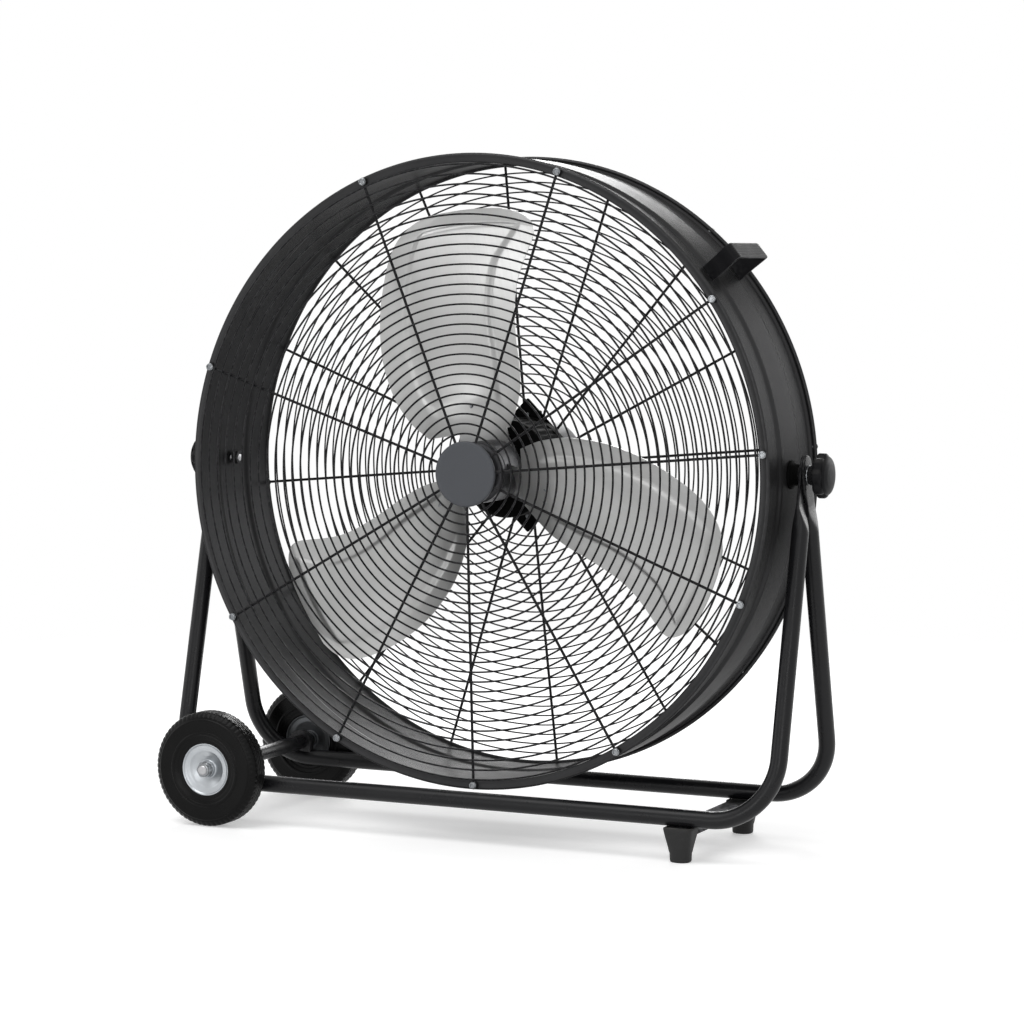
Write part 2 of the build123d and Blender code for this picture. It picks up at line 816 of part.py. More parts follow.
# ---------------------------------------------------------------- motor
def motor_shell():
    """The motor's front shell: a deep cup with a bearing seat in its face."""
    inside = flats_at(motor_radius - motor_wall, sides_of(motor_radius))
    seat_out = bearing_radius + bearing_seat_wall
    face = motor_front + motor_wall
    back = motor_plate_y - seat
    shell = turned_y([
        (0, motor_front), (motor_radius - motor_chamfer, motor_front),
        (motor_radius, motor_front + motor_chamfer), (motor_radius, back), (inside, back),
        (inside, face + motor_chamfer), (seat_out, face), (seat_out, face + bearing_width),
        (0, face + bearing_width),
    ])
    shell = shell - bore_y(bearing_radius + fit, face, face + bearing_width)
    return on_axis(shell - bore_y(shaft_hole_radius, motor_front, face))


def at_clamps(shape):
    """Four copies of a piece, one near each corner of the motor plate."""
    placed = Pos(motor_plate_radius - clamp_screw_inset, 0, 0) * shape
    return [turned_to(angle, placed) for angle in (0, 90, 180, 270)]


def motor_plate():
    """The square plate, set on its corner, that ties the motor to the rear guard."""
    plate = Plane((0, motor_plate_y, 0), z_dir=(0, 1, 0)) * extrude(
        RegularPolygon(motor_plate_radius, 4), motor_plate_thickness
    )
    start = motor_plate_y - bearing_width
    boss = disc_y(bearing_radius + bearing_seat_wall, start, motor_plate_y)
    plate = plate + (boss - bore_y(bearing_radius + fit, start, motor_plate_y))
    for hole in at_clamps(bore_y(clamp_screw_diameter / 2 + fit, motor_plate_y, half_depth)):
        plate = plate - hole
    return on_axis(plate)


def spoke_clamps():
    """The four bars that pinch the rear spokes onto the motor plate."""
    start = rear_spoke_y + spoke_diameter / 2 + seat
    bar = Pos(0, start, 0) * Box(
        clamp_width, clamp_thickness, clamp_length, align=(Align.CENTER, Align.MIN, Align.CENTER)
    )
    bar = bar - bore_y(clamp_screw_diameter / 2 + fit, start, start + clamp_thickness)
    return on_axis(Compound(at_clamps(bar)))


def clamp_screws():
    """The screws through motor plate and clamp bars."""
    end = rear_spoke_y + spoke_diameter / 2 + 2 * seat + clamp_thickness
    head = hex_y(clamp_screw_flats, end, end + clamp_screw_head)
    shank = disc_y(clamp_screw_diameter / 2, motor_plate_y - clamp_screw_tip, end)
    return on_axis(Compound(at_clamps(head + shank)))


def stator():
    """The stator pack, a ring pressed into the shell."""
    outside = motor_radius - motor_wall - fit
    inside = rotor_radius + rotor_air_gap
    start = stator_y - stator_length / 2
    end = start + stator_length
    return on_axis(disc_y(outside, start, end) - bore_y(inside, start, end))


def shaft_bearings():
    """The two ball bearings, as plain rings."""
    rings = []
    for start in (motor_front + motor_wall + seat, motor_plate_y - seat - bearing_width):
        ring = disc_y(bearing_radius, start, start + bearing_width)
        rings.append(ring - bore_y(shaft_radius + running, start, start + bearing_width))
    return on_axis(Compound(rings))


def rear_cover():
    """The deep cover over the back of the motor, round the switch and the capacitor."""
    inside = rear_cover_radius - motor_wall
    face = rear_cover_end - motor_wall
    cover = turned_y([
        (inside, rear_cover_y), (rear_cover_radius, rear_cover_y),
        (rear_cover_radius, rear_cover_end - motor_chamfer),
        (rear_cover_radius - motor_chamfer, rear_cover_end), (0, rear_cover_end), (0, face),
        (inside - motor_chamfer, face), (inside, face - motor_chamfer),
    ])
    cover = cover - bore_y(spindle_radius + running, face, rear_cover_end)
    gland_hole = disc_z(
        flats_at(gland_stem_radius + fit, fewest_sides), -2 * rear_cover_radius, -inside / 2
    )
    return on_axis(cover - Pos(0, gland_y, 0) * gland_hole)


def switch_body():
    """The speed switch behind the cover's face."""
    body = Box(switch_size, switch_depth, switch_size, align=(Align.CENTER, Align.MAX, Align.CENTER))
    return on_axis(Pos(0, rear_cover_end - motor_wall - seat, 0) * body)


def capacitor():
    """The run capacitor, between the switch and the cover's face."""
    across = switch_size / 2 + capacitor_radius + seat
    depth = rear_cover_end - motor_wall - seat - capacitor_radius
    can = disc_z(capacitor_radius, -capacitor_length / 2, capacitor_length / 2)
    return on_axis(Pos(-across, depth, 0) * can)


def cord_gland():
    """The bored strain relief under the rear cover, where a cord would enter."""
    top = motor_wall + gland_inside - rear_cover_radius
    shoulder = -rear_cover_radius - seat
    bottom = shoulder - gland_length
    gland = disc_z(gland_stem_radius, shoulder, top) + disc_z(gland_radius, bottom, shoulder)
    bore = flats_at(gland_bore_radius, fewest_sides)
    return on_axis(Pos(0, gland_y, 0) * (gland - disc_z(bore, bottom, top)))


def speed_knob():
    """The speed knob on the rear cover, with its spindle and pointer ridge."""
    start = rear_cover_end + seat
    middle = start + speed_knob_length / 2
    knob = disc_y(speed_knob_radius, start, middle)
    ridge = Box(
        2 * (speed_knob_radius - speed_ridge_inset), speed_knob_length / 2, speed_ridge_width,
        align=(Align.CENTER, Align.MIN, Align.CENTER),
    )
    spindle = disc_y(spindle_radius, rear_cover_end - motor_wall - seat / 2, start)
    return on_axis(knob + Pos(0, middle, 0) * ridge + spindle)


# ---------------------------------------------------------------- impeller
def blade_slope(reach):
    """Tangent of the blade's pitch at a distance from the axis."""
    return blade_lead / (reach + blade_lead_offset)


def blade_y(reach, across):
    """Y of the blade's rear face, out along the blade and across it."""
    curve = blade_camber * (across / blade_camber_width) ** 2
    return blade_plane - blade_slope(reach) * across - curve


def blade_rows():
    """Plan points (reach, across) of the blade, row by row from root to tip."""
    inner = [-arm_half_width, 0, arm_half_width]
    rows = [
        [(reach, -lead)] + [(reach, across) for across in inner] + [(reach, trail)]
        for reach, lead, trail in blade_stations
    ]
    tip = [-blade_tip_lead] + inner + [blade_tip_trail]
    rows.append([(sqrt(blade_tip_radius**2 - across**2), across) for across in tip])
    return rows


def faceted_sheet(rows, offset, thickness):
    """A sheet of flat facets over plan points, with the blade's twist and camber."""
    rear = [[Vector(x, blade_y(x, z) + offset, z) for x, z in row] for row in rows]
    front = [[point - Vector(0, thickness, 0) for point in row] for row in rear]
    faces = []
    for grid in (rear, front):
        for row, following in zip(grid, grid[1:]):
            for index in range(len(row) - 1):
                corners = (row[index], row[index + 1], following[index + 1], following[index])
                shift = 0 if row[index].Z < 0 else 1
                around = corners[shift:] + corners[:shift]
                faces.append([around[0], around[1], around[3]])
                faces.append([around[1], around[2], around[3]])
    loops = []
    for grid in (rear, front):
        loops.append(grid[0] + [row[-1] for row in grid[1:-1]] + grid[-1][::-1]
                     + [row[0] for row in grid[-2:0:-1]])
    for index in range(len(loops[0])):
        here, there = index - 1, index
        faces.append([loops[0][here], loops[0][there], loops[1][there], loops[1][here]])
    return polyhedron(faces)


def blade(index):
    """One pressed aluminium paddle, drilled for its rivets."""
    paddle = faceted_sheet(blade_rows(), 0, blade_thickness)
    for hole in rivets_on_blade(rivet_diameter / 2 + fit, blade_tip_radius / 10):
        paddle = paddle - hole
    return on_axis(turned_to(blade_degrees(index), paddle))


def blade_degrees(index):
    """Where a blade stands round the hub."""
    return first_blade_degrees + 360 * index / blade_count


def rivets_on_blade(radius, length):
    """The rivets of one blade, as bars square to the blade's face."""
    rivets = []
    for reach, across in rivet_places:
        lean = degrees(atan(blade_slope(reach)))
        middle = blade_y(reach, across) + (arm_thickness + seat - blade_thickness) / 2
        rivet = Rot(lean, 0, 0) * Rot(-90, 0, 0) * extrude(
            RegularPolygon(radius, rivet_sides), length / 2, both=True
        )
        rivets.append(Pos(reach, middle, across) * rivet)
    return rivets


def hub_arm():
    """One arm of the hub, along +X, shaped to the back of its blade."""
    across = (-arm_half_width, 0, arm_half_width)
    rows = [[(reach, z) for z in across] for reach in (hub_radius / 2, blade_root_radius, arm_reach)]
    arm = faceted_sheet(rows, arm_thickness + seat, arm_thickness)
    for hole in rivets_on_blade(rivet_diameter / 2 + fit, hub_radius):
        arm = arm - hole
    return arm


def blade_hub():
    """The cast hub with an arm for each blade."""
    hub = turned_y([
        (0, hub_front), (hub_radius - hub_chamfer, hub_front), (hub_radius, hub_front + hub_chamfer),
        (hub_radius, hub_back), (0, hub_back),
    ])
    for index in range(blade_count):
        hub = hub + turned_to(blade_degrees(index), hub_arm())
    hub = hub - bore_y(shaft_radius + fit, 2 * hub_front, -hub_front)
    screw_hole = bore_x(hub_screw_diameter / 2 + fit, shaft_radius, hub_radius)
    return on_axis(hub - Pos(0, hub_screw_y, 0) * screw_hole)


def hub_screw():
    """The set screw that grips the shaft."""
    screw = disc_x(hub_screw_diameter / 2, shaft_radius + seat, hub_screw_out)
    return on_axis(Pos(0, hub_screw_y, 0) * screw)


def blade_rivets():
    """All the rivets that hold the blades to the hub's arms."""
    length = blade_thickness + arm_thickness + seat + 2 * rivet_head
    rivets = []
    for index in range(blade_count):
        for rivet in rivets_on_blade(rivet_diameter / 2, length):
            rivets.append(turned_to(blade_degrees(index), rivet))
    return on_axis(Compound(rivets))


def rotor_shaft():
    """The rotor pressed on its shaft."""
    start = stator_y - rotor_length / 2
    end = start + rotor_length
    return on_axis(turned_y([
        (0, hub_front + shaft_inset), (shaft_radius, hub_front + shaft_inset),
        (shaft_radius, start), (rotor_radius, start),
        (rotor_radius, end), (shaft_radius, end), (shaft_radius, motor_plate_y - 2 * seat),
        (0, motor_plate_y - 2 * seat),
    ]))


# ---------------------------------------------------------------- the whole fan
def all_pieces():
    """Every node of the fan with its shape."""
    pieces = {
        "front_frame_tube": frame_tube(-1, inner_flat_x),
        "rear_frame_tube": frame_tube(1, outer_flat_x),
        "foot_crossbar": foot_crossbar(),
        "front_foot": foot(-1),
        "rear_foot": foot(1),
        "axle_tube": axle_tube(),
        "axle_rod": axle_rod(),
        "axle_brackets": Compound([axle_bracket(-1), axle_bracket(1)]),
        "axle_washers": axle_washers(),
        "axle_nuts": axle_nuts(),
        "drum_shell": drum_shell(),
        "front_guard": front_guard(),
        "rear_guard": rear_guard(),
        "guard_badge": guard_badge(),
        "front_guard_screws": guard_screws(front_spoke_degrees, -1),
        "rear_guard_screws": guard_screws(rear_screw_degrees, 1),
        "handle": handle(),
        "handle_screws": handle_screws(),
        "pivot_washers": pivot_washers(),
        "knob_washers": knob_washers(),
        "pivot_nuts": pivot_nuts(),
        "motor_shell": motor_shell(),
        "motor_plate": motor_plate(),
        "spoke_clamps": spoke_clamps(),
        "clamp_screws": clamp_screws(),
        "stator": stator(),
        "shaft_bearings": shaft_bearings(),
        "rear_cover": rear_cover(),
        "switch_body": switch_body(),
        "capacitor": capacitor(),
        "cord_gland": cord_gland(),
        "speed_knob": speed_knob(),
        "rotor_shaft": rotor_shaft(),
        "blade_hub": blade_hub(),
        "blade_rivets": blade_rivets(),
        "hub_screw": hub_screw(),
    }
    for index in range(blade_count):
        pieces[f"blade_{index + 1}"] = blade(index)
    for name, side in (("front", -1), ("rear", 1)):
        pieces[f"{name}_tyre"] = tyre(side)
        pieces[f"{name}_wheel_rim"] = wheel_rim(side)
        pieces[f"{name}_wheel_bush"] = wheel_bush(side)
    for name, side in (("left", -1), ("right", 1)):
        pieces[f"{name}_pivot_boss"] = pivot_boss(side)
        pieces[f"{name}_tilt_knob"] = tilt_knob(side)
        pieces[f"{name}_tilt_stud"] = tilt_stud(side)
    return pieces


os.makedirs("parts", exist_ok=True)
for node, shape in all_pieces().items():
    export_step(shape, f"parts/{node}.step")
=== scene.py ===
"""Drum fan in a wheeled tube frame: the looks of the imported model, in its own frame.

Sizes in this file are millimetres; meshes are written in metres. X runs along the tilt
pivots, the fan blows towards -Y, Z is up and the origin lies on the floor.
"""

import json
import logging
import math
from collections.abc import Callable, Sequence
from dataclasses import dataclass, field, replace
from enum import Enum

import bmesh
import bpy
import numpy as np
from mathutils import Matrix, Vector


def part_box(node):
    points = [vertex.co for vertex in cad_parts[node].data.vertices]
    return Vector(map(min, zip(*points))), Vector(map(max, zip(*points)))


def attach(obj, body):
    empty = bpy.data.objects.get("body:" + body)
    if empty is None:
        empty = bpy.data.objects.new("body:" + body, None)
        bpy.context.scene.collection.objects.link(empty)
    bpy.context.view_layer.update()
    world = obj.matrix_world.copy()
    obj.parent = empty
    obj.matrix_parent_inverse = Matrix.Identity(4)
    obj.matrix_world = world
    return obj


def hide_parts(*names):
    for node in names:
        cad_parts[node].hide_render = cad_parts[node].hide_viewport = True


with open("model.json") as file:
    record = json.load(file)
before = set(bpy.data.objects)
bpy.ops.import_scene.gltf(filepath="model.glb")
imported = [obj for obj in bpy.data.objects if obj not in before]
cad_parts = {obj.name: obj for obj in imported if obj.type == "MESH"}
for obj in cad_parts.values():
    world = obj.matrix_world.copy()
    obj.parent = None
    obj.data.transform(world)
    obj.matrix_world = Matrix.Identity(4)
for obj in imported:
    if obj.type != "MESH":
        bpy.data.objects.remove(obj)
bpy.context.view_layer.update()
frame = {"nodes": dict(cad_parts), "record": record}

LOG = logging.getLogger("drum_fan")
MM = 0.001
MERGE_DISTANCE = 1e-6
TAU = 2 * math.pi
Colour = tuple[float, float, float]
WHITE = (1.0, 1.0, 1.0)
Array = np.ndarray
Points = Sequence[Sequence[float]]
Wave = Callable[[Array, Array, Array], Array]
Socket = bpy.types.NodeSocket


def middle(node: str) -> Array:
    """The middle of a CAD node's box, in millimetres."""
    low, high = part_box(node)
    return (np.array(low) + np.array(high)) / 2 / MM


AXIS = middle("guard_badge") * (1, 0, 1)
PIVOT = middle("pivot_nuts") * (0, 0, 1)


class Body(Enum):
    """The CAD bodies that the pieces ride."""

    FRAME = "frame"
    DRUM = "drum"
    IMPELLER = "impeller"
    FRONT_WHEEL = "front_wheel"
    REAR_WHEEL = "rear_wheel"
    LEFT_KNOB = "left_knob"
    RIGHT_KNOB = "right_knob"
    SPEED_DIAL = "speed_dial"


class Marks(Enum):
    """The tool marks that a finish carries."""

    NONE = "none"
    TURNED = "turned"
    BRUSHED = "brushed"


# --- surfaces
@dataclass
class Surface:
    """Points in millimetres and the faces that join them."""

    points: Array
    quads: Array
    caps: list[list[int]] = field(default_factory=list)

    def __add__(self, other: "Surface") -> "Surface":
        """Puts two surfaces into one.

        Args:
            other: the surface to add.
        Returns:
            Both, with the second one's faces renumbered.
        """
        first = len(self.points)
        caps = self.caps + [[index + first for index in cap] for cap in other.caps]
        return Surface(np.vstack([self.points, other.points]),
                       np.vstack([self.quads, other.quads + first]), caps)

    def moved(self, offset: Sequence[float]) -> "Surface":
        """The surface shifted by x, y and z in millimetres."""
        return Surface(self.points + np.asarray(offset, float), self.quads, self.caps)

    def turned(self, degrees: float, about: str = "y") -> "Surface":
        """Turns the surface about an axis through the origin.

        Args:
            degrees: about y, counterclockwise as seen from the front; about x, from y to z.
            about: "x" or "y".
        Returns:
            The turned copy.
        """
        cosine, sine = math.cos(math.radians(degrees)), math.sin(math.radians(degrees))
        first = {"y": 0, "x": 1}[about]
        points = self.points.copy()
        points[:, first] = self.points[:, first] * cosine - self.points[:, 2] * sine
        points[:, 2] = self.points[:, first] * sine + self.points[:, 2] * cosine
        return Surface(points, self.quads, self.caps)

    def doubled(self, column: int) -> "Surface":
        """The surface with its mirror image."""
        return self + self.mirrored(column)

    def mirrored(self, column: int) -> "Surface":
        """The surface with the sign of one coordinate changed."""
        signs = np.where(np.arange(3) == column, -1.0, 1.0)
        return Surface(self.points * signs, self.quads, self.caps)


def joined(surfaces: Sequence[Surface]) -> Surface:
    """Several surfaces as one."""
    return sum(surfaces[1:], surfaces[0])


def grid(points: Array, around: bool = True, along: bool = False) -> Surface:
    """Joins a grid of points: row i, column j to its neighbours i+1 and j+1.

    Args:
        points: array of rows x columns x 3.
        around: closes the columns into a ring.
        along: closes the rows into a ring.
    Returns:
        The surface of quads, with a cap on each open ring.
    """
    rows, columns = points.shape[:2]
    index = np.arange(rows * columns).reshape(rows, columns)
    ends = [index[0, ::-1].tolist(), index[-1].tolist()] if around and not along else []
    if around:
        index = np.concatenate([index, index[:, :1]], 1)
    if along:
        index = np.concatenate([index, index[:1]], 0)
    corners = (index[:-1, :-1], index[:-1, 1:], index[1:, 1:], index[1:, :-1])
    quads = np.stack(corners, -1).reshape(-1, 4)
    return Surface(points.reshape(-1, 3).astype(float), quads, ends)


def eased(corners: Points, reach: float, steps: int = 4,
          loop: bool = True) -> Array:
    """Rounds a line's corners with parabolas: (1-s)^2 a + 2s(1-s) p + s^2 b.

    a and b lie `reach` from each corner p, or less where a side is short.

    Args:
        corners: the corner points, in the plane or in space.
        reach: how far from the corner the rounding starts.
        steps: stretches in each rounding.
        loop: the line is closed.
    Returns:
        The rounded line's points.
    """
    corner = np.asarray(corners, float)
    parts = []
    for other in (np.roll(corner, 1, 0), np.roll(corner, -1, 0)):
        side = other - corner
        length = np.linalg.norm(side, axis=1, keepdims=True)
        parts.append(corner + side / length * np.minimum(reach, 0.49 * length))
    s = np.linspace(0, 1, steps + 1)[None, :, None]
    before, after = parts[0][:, None], parts[1][:, None]
    arcs = (1 - s) ** 2 * before + 2 * s * (1 - s) * corner[:, None] + s**2 * after
    if not loop:
        arcs[0], arcs[-1] = corner[0], corner[-1]
    return arcs.reshape(-1, corner.shape[1])


def on_axis(axis: str, along: Array, across: Array, up: Array) -> Array:
    """Points from their places along an axis ("x", "y" or "z") and in the plane across it."""
    order = {"x": (along, across, up), "y": (across, along, up), "z": (across, up, along)}
    return np.stack(order[axis], -1)


def lathe(profile: Points, sides: int = 96, axis: str = "y",
          closed: bool = True, wave: Wave | None = None) -> Surface:
    """Turns a profile: point = (radius cos a, along, radius sin a) for a from 0 to a full turn.

    Args:
        profile: (radius, place along the axis) points.
        sides: stretches round the turn.
        axis: "x", "y" or "z".
        closed: the profile is a loop; otherwise its ends are capped or meet the axis.
        wave: changes the radius from (radius, angle, along).
    Returns:
        The turned surface.
    """
    line = np.asarray(profile, float)
    angle = np.linspace(0, TAU, sides, endpoint=False)[None, :]
    radius = np.repeat(line[:, :1], sides, 1)
    along = np.repeat(line[:, 1:], sides, 1)
    if wave:
        radius = wave(radius, angle, along)
    points = on_axis(axis, along, radius * np.cos(angle), radius * np.sin(angle))
    return grid(points, along=closed)


def turned(corners: Points, ease: float, steps: int = 4, sides: int = 144, axis: str = "y",
           closed: bool = True, wave: Wave | None = None) -> Surface:
    """Turns a profile whose corners are eased first; see eased and lathe."""
    return lathe(eased(corners, ease, steps, closed), sides, axis, closed, wave)


def sweep(path: Array, section: Array, up: Sequence[float],
          loop: bool = False) -> Surface:
    """Carries a section along a path: point = path + side * s + lift * t.

    side is the tangent crossed with `up`, and lift is side crossed with the tangent.

    Args:
        path: n x 3 points.
        section: m x 2 outline, or n x m x 2 with one outline for each point of the path.
        up: a direction that the path never follows.
        loop: the path is closed.
    Returns:
        The swept surface, capped unless it is a loop.
    """
    if loop:
        tangent = np.roll(path, -1, 0) - np.roll(path, 1, 0)
    else:
        tangent = np.gradient(path, axis=0)
    tangent /= np.linalg.norm(tangent, axis=1, keepdims=True)
    side = np.cross(tangent, np.asarray(up, float))
    side /= np.linalg.norm(side, axis=1, keepdims=True)
    lift = np.cross(side, tangent)
    outline = section if section.ndim == 3 else section[None]
    points = (path[:, None] + side[:, None] * outline[..., :1]
              + lift[:, None] * outline[..., 1:])
    return grid(points, along=loop)


def prism(outline: Array, start: float, end: float, axis: str = "y") -> Surface:
    """Carries a flat outline straight along an axis and caps both ends."""
    first, second = (np.repeat(outline[None, :, i], 2, 0) for i in (0, 1))
    return grid(on_axis(axis, np.repeat([[start], [end]], len(outline), 1), first, second))


def oval(half_wide: float, half_high: float, power: float = 2.0, sides: int = 32,
         turn: Array | None = None) -> Array:
    """A superellipse: (a |cos t|^(2/n) sign, b |sin t|^(2/n) sign).

    Args:
        half_wide: a, half the width.
        half_high: b, half the height.
        power: n; 2 is an ellipse and larger is squarer.
        sides: points round it.
        turn: the angles t, for a part of it.
    Returns:
        The outline.
    """
    t = np.linspace(0, TAU, sides, endpoint=False) if turn is None else turn
    flat = 2 / power
    return np.stack([half_wide * np.sign(np.cos(t)) * np.abs(np.cos(t)) ** flat,
                     half_high * np.sign(np.sin(t)) * np.abs(np.sin(t)) ** flat], -1)


def box_outline(wide: float, high: float, corner: float, steps: int = 4) -> Array:
    """A rectangle about the origin, rounded from `corner` before each corner."""
    a, b = wide / 2, high / 2
    return eased([(-a, -b), (a, -b), (a, b), (-a, b)], corner, steps)


def hexagon_wave(flats: float, low: float, high: float, chamfer: float = 0.9) -> Wave:
    """A nut's outside for lathe: the smaller of a hexagon and the cones of its chamfers.

    Args:
        flats: width across the flats.
        low: where the nut starts on its axis.
        high: where it ends.
        chamfer: how far the corners are cut back at each end.
    Returns:
        The wave function; it leaves radii inside the hexagon as they are.
    """

    def wave(radius: Array, angle: Array, along: Array) -> Array:
        """Args: radius, angle, along: see lathe. Returns: the new radius."""
        corner = np.mod(angle, math.pi / 3) - math.pi / 6
        hexagon = flats / 2 / np.cos(corner)
        end = np.minimum(np.abs(along - low), np.abs(high - along))
        cone = flats / math.sqrt(3) - chamfer + 1.7 * end
        return np.minimum(radius, np.minimum(hexagon, cone))

    return wave


def hex_head(flats: float, start: float, end: float, bore: float, axis: str = "y") -> Surface:
    """A nut or a bolt's head, turned with hexagon_wave.

    Args:
        flats: width across the flats.
        start: its face nearer the work.
        end: its outer face.
        bore: the bore's radius, 0 for a bolt's head.
        axis: "x", "y" or "z".
    Returns:
        The closed surface.
    """
    outer = flats / math.sqrt(3) + 0.1
    low, high = min(start, end), max(start, end)
    levels = low + (high - low) * np.array([0, 0.03, 0.08, 0.2, 0.5, 0.8, 0.92, 0.97, 1])
    lip = flats * 0.4
    profile = [(bore, low), (lip, low)] + [(outer, level) for level in levels]
    profile += [(lip, high), (bore, high)]
    return lathe(profile, 72, axis, bore > 0, hexagon_wave(flats, low, high))


def ring(inner: float, outer: float, start: float, end: float, axis: str = "y",
         edge: float = 0.4, sides: int = 64) -> Surface:
    """A washer, bush or tube between two radii: a turned rectangle with eased edges."""
    corners = [(inner, start), (outer, start), (outer, end), (inner, end)]
    return turned(corners, edge, 3, sides, axis)


def curve_through(points: Points, count: int) -> Array:
    """A Catmull-Rom curve, evenly spaced in its own parameter.

    p(s) = p1 + s(p2-p0)/2 + s^2(p0 - 5p1/2 + 2p2 - p3/2) + s^3(3(p1-p2) + p3 - p0)/2.

    Args:
        points: the points it passes through.
        count: how many points to return.
    Returns:
        count x n points.
    """
    knot = np.asarray(points, float)
    knot = np.vstack([2 * knot[0] - knot[1], knot, 2 * knot[-1] - knot[-2]])
    place = np.linspace(0, len(points) - 1, count)
    index = np.minimum(place.astype(int), len(points) - 2)
    s = (place - index)[:, None]
    p0, p1, p2, p3 = (knot[index + step] for step in range(4))
    return (p1 + s * (p2 - p0) / 2 + s**2 * (p0 - 2.5 * p1 + 2 * p2 - p3 / 2)
            + s**3 * (3 * (p1 - p2) + p3 - p0) / 2)


def smooth(low: float, high: float, value: Array) -> Array:
    """Eases from 0 at low to 1 at high: 3s^2 - 2s^3, s being the clamped share."""
    s = np.clip((value - low) / (high - low), 0, 1)
    return s * s * (3 - 2 * s)


def comb(angle: Array, count: int) -> Array:
    """How far an angle lies from the middle of its own one of `count` parts: 0 to 0.5."""
    return np.abs(np.mod(count * angle / TAU, 1) - 0.5)


# --- shader groups
@dataclass
class Graph:
    """Adds and links nodes in one shader tree."""

    tree: bpy.types.NodeTree

    def put(self, kind: str, settings: dict | None = None,
            **inputs: float | Sequence[float] | Socket) -> bpy.types.Node:
        """Adds a node.

        Args:
            kind: the node's type without its ShaderNode prefix.
            settings: properties of the node.
            inputs: values or sockets by input name, with _ for a space, or i0, i1 by number.
        Returns:
            The node.
        """
        node = self.tree.nodes.new("ShaderNode" + kind)
        for name, value in (settings or {}).items():
            setattr(node, name, value)
        for name, value in inputs.items():
            numbered = name[0] == "i" and name[1:].isdigit()
            socket = node.inputs[int(name[1:]) if numbered else name.replace("_", " ")]
            if isinstance(value, Socket):
                self.tree.links.new(value, socket)
            elif socket.type == "RGBA":
                socket.default_value = (*value, 1.0)
            else:
                socket.default_value = value
        return node

    def shared(self, key: str, **inputs: float | Sequence[float] | Socket) -> bpy.types.Node:
        """Adds one of the shared groups."""
        return self.put("Group", {"node_tree": GROUPS[key]}, **inputs)

    def math(self, operation: str, *values: float | Socket) -> Socket:
        """Adds a Math node on numbers or sockets and gives its output."""
        inputs = {f"i{index}": value for index, value in enumerate(values)}
        return self.put("Math", {"operation": operation}, **inputs).outputs[0]

    def vector(self, operation: str, *values: Sequence[float] | Socket) -> Socket:
        """Adds a Vector Math node and gives its output, the Value for a length."""
        inputs = {f"i{index}": value for index, value in enumerate(values)}
        node = self.put("VectorMath", {"operation": operation}, **inputs)
        return node.outputs["Value" if operation == "LENGTH" else "Vector"]

    def mix(self, factor: Socket, one: Colour | Socket, two: Colour | Socket) -> Socket:
        """Mixes two colours: factor 0 gives the first and 1 the second."""
        return self.put("Mix", {"data_type": "RGBA"}, i0=factor, i6=one, i7=two).outputs[2]

    def spread(self, value: Socket, low: float, high: float, to_low: float = 0.0,
               to_high: float = 1.0) -> Socket:
        """Maps the range from low to high to the one from to_low to to_high, clamped."""
        return self.put("MapRange", Value=value, From_Min=low, From_Max=high,
                        To_Min=to_low, To_Max=to_high).outputs[0]

    def noise(self, place: Socket, scale: float | Socket, detail: float,
              roughness: float = 0.5) -> Socket:
        """Adds a noise texture at a place and gives its value."""
        return self.put("TexNoise", Vector=place, Scale=scale, Detail=detail,
                        Roughness=roughness).outputs[0]


def grain(graph: Graph, given: dict[str, Socket]) -> dict[str, Socket]:
    """Fine noise for the skin and broad noise for its tone.

    Args:
        graph: the group's graph.
        given: the group's inputs by name.
    Returns:
        The outputs by name; the other groups' functions are alike.
    """
    fine = graph.noise(given["Vector"], given["Scale"], 3.0, 0.55)
    broad = graph.noise(given["Vector"], given["Mottle Scale"], 5.0, 0.6)
    return {"Height": graph.spread(fine, 0.3, 0.7), "Mottle": graph.spread(broad, 0.32, 0.68)}


def edge_wear(graph: Graph, given: dict[str, Socket]) -> dict[str, Socket]:
    """Convex edges broken up by noise; arguments and result as for grain."""
    ridge = graph.spread(graph.put("NewGeometry").outputs["Pointiness"], 0.52, 0.62)
    broken = graph.spread(graph.noise(given["Vector"], 220.0, 6.0), 0.45, 0.6)
    mask = graph.math("MULTIPLY", graph.math("MULTIPLY", ridge, broken), given["Amount"])
    return {"Mask": mask}


def settled_dust(graph: Graph, given: dict[str, Socket]) -> dict[str, Socket]:
    """Faces that look up, broken up by noise; arguments and result as for grain."""
    normal = graph.put("SeparateXYZ", Vector=graph.put("NewGeometry").outputs["Normal"])
    level = graph.spread(normal.outputs[2], 0.25, 1.0)
    patches = graph.spread(graph.noise(given["Vector"], 35.0, 7.0, 0.7), 0.35, 0.7)
    cover = graph.math("MULTIPLY", level, patches)
    return {"Mask": graph.math("MULTIPLY", cover, given["Amount"])}


def turned_marks(graph: Graph, given: dict[str, Socket]) -> dict[str, Socket]:
    """Fine rings at a distance from an axis along Y; arguments and result as for grain."""
    offset = graph.vector("SUBTRACT", given["Vector"], given["Centre"])
    radius = graph.vector("LENGTH", graph.vector("MULTIPLY", offset, (1.0, 0.0, 1.0)))
    rings = graph.put("TexNoise", {"noise_dimensions": "1D"}, W=radius, Scale=900.0, Detail=3.0)
    return {"Mark": graph.spread(rings.outputs[0], 0.3, 0.7)}


def brushed_marks(graph: Graph, given: dict[str, Socket]) -> dict[str, Socket]:
    """Noise drawn out along the vector's first axis; arguments and result as for grain."""
    drawn = graph.vector("MULTIPLY", given["Vector"], (6.0, 420.0, 420.0))
    return {"Mark": graph.spread(graph.noise(drawn, 1.0, 4.0, 0.6), 0.3, 0.7)}


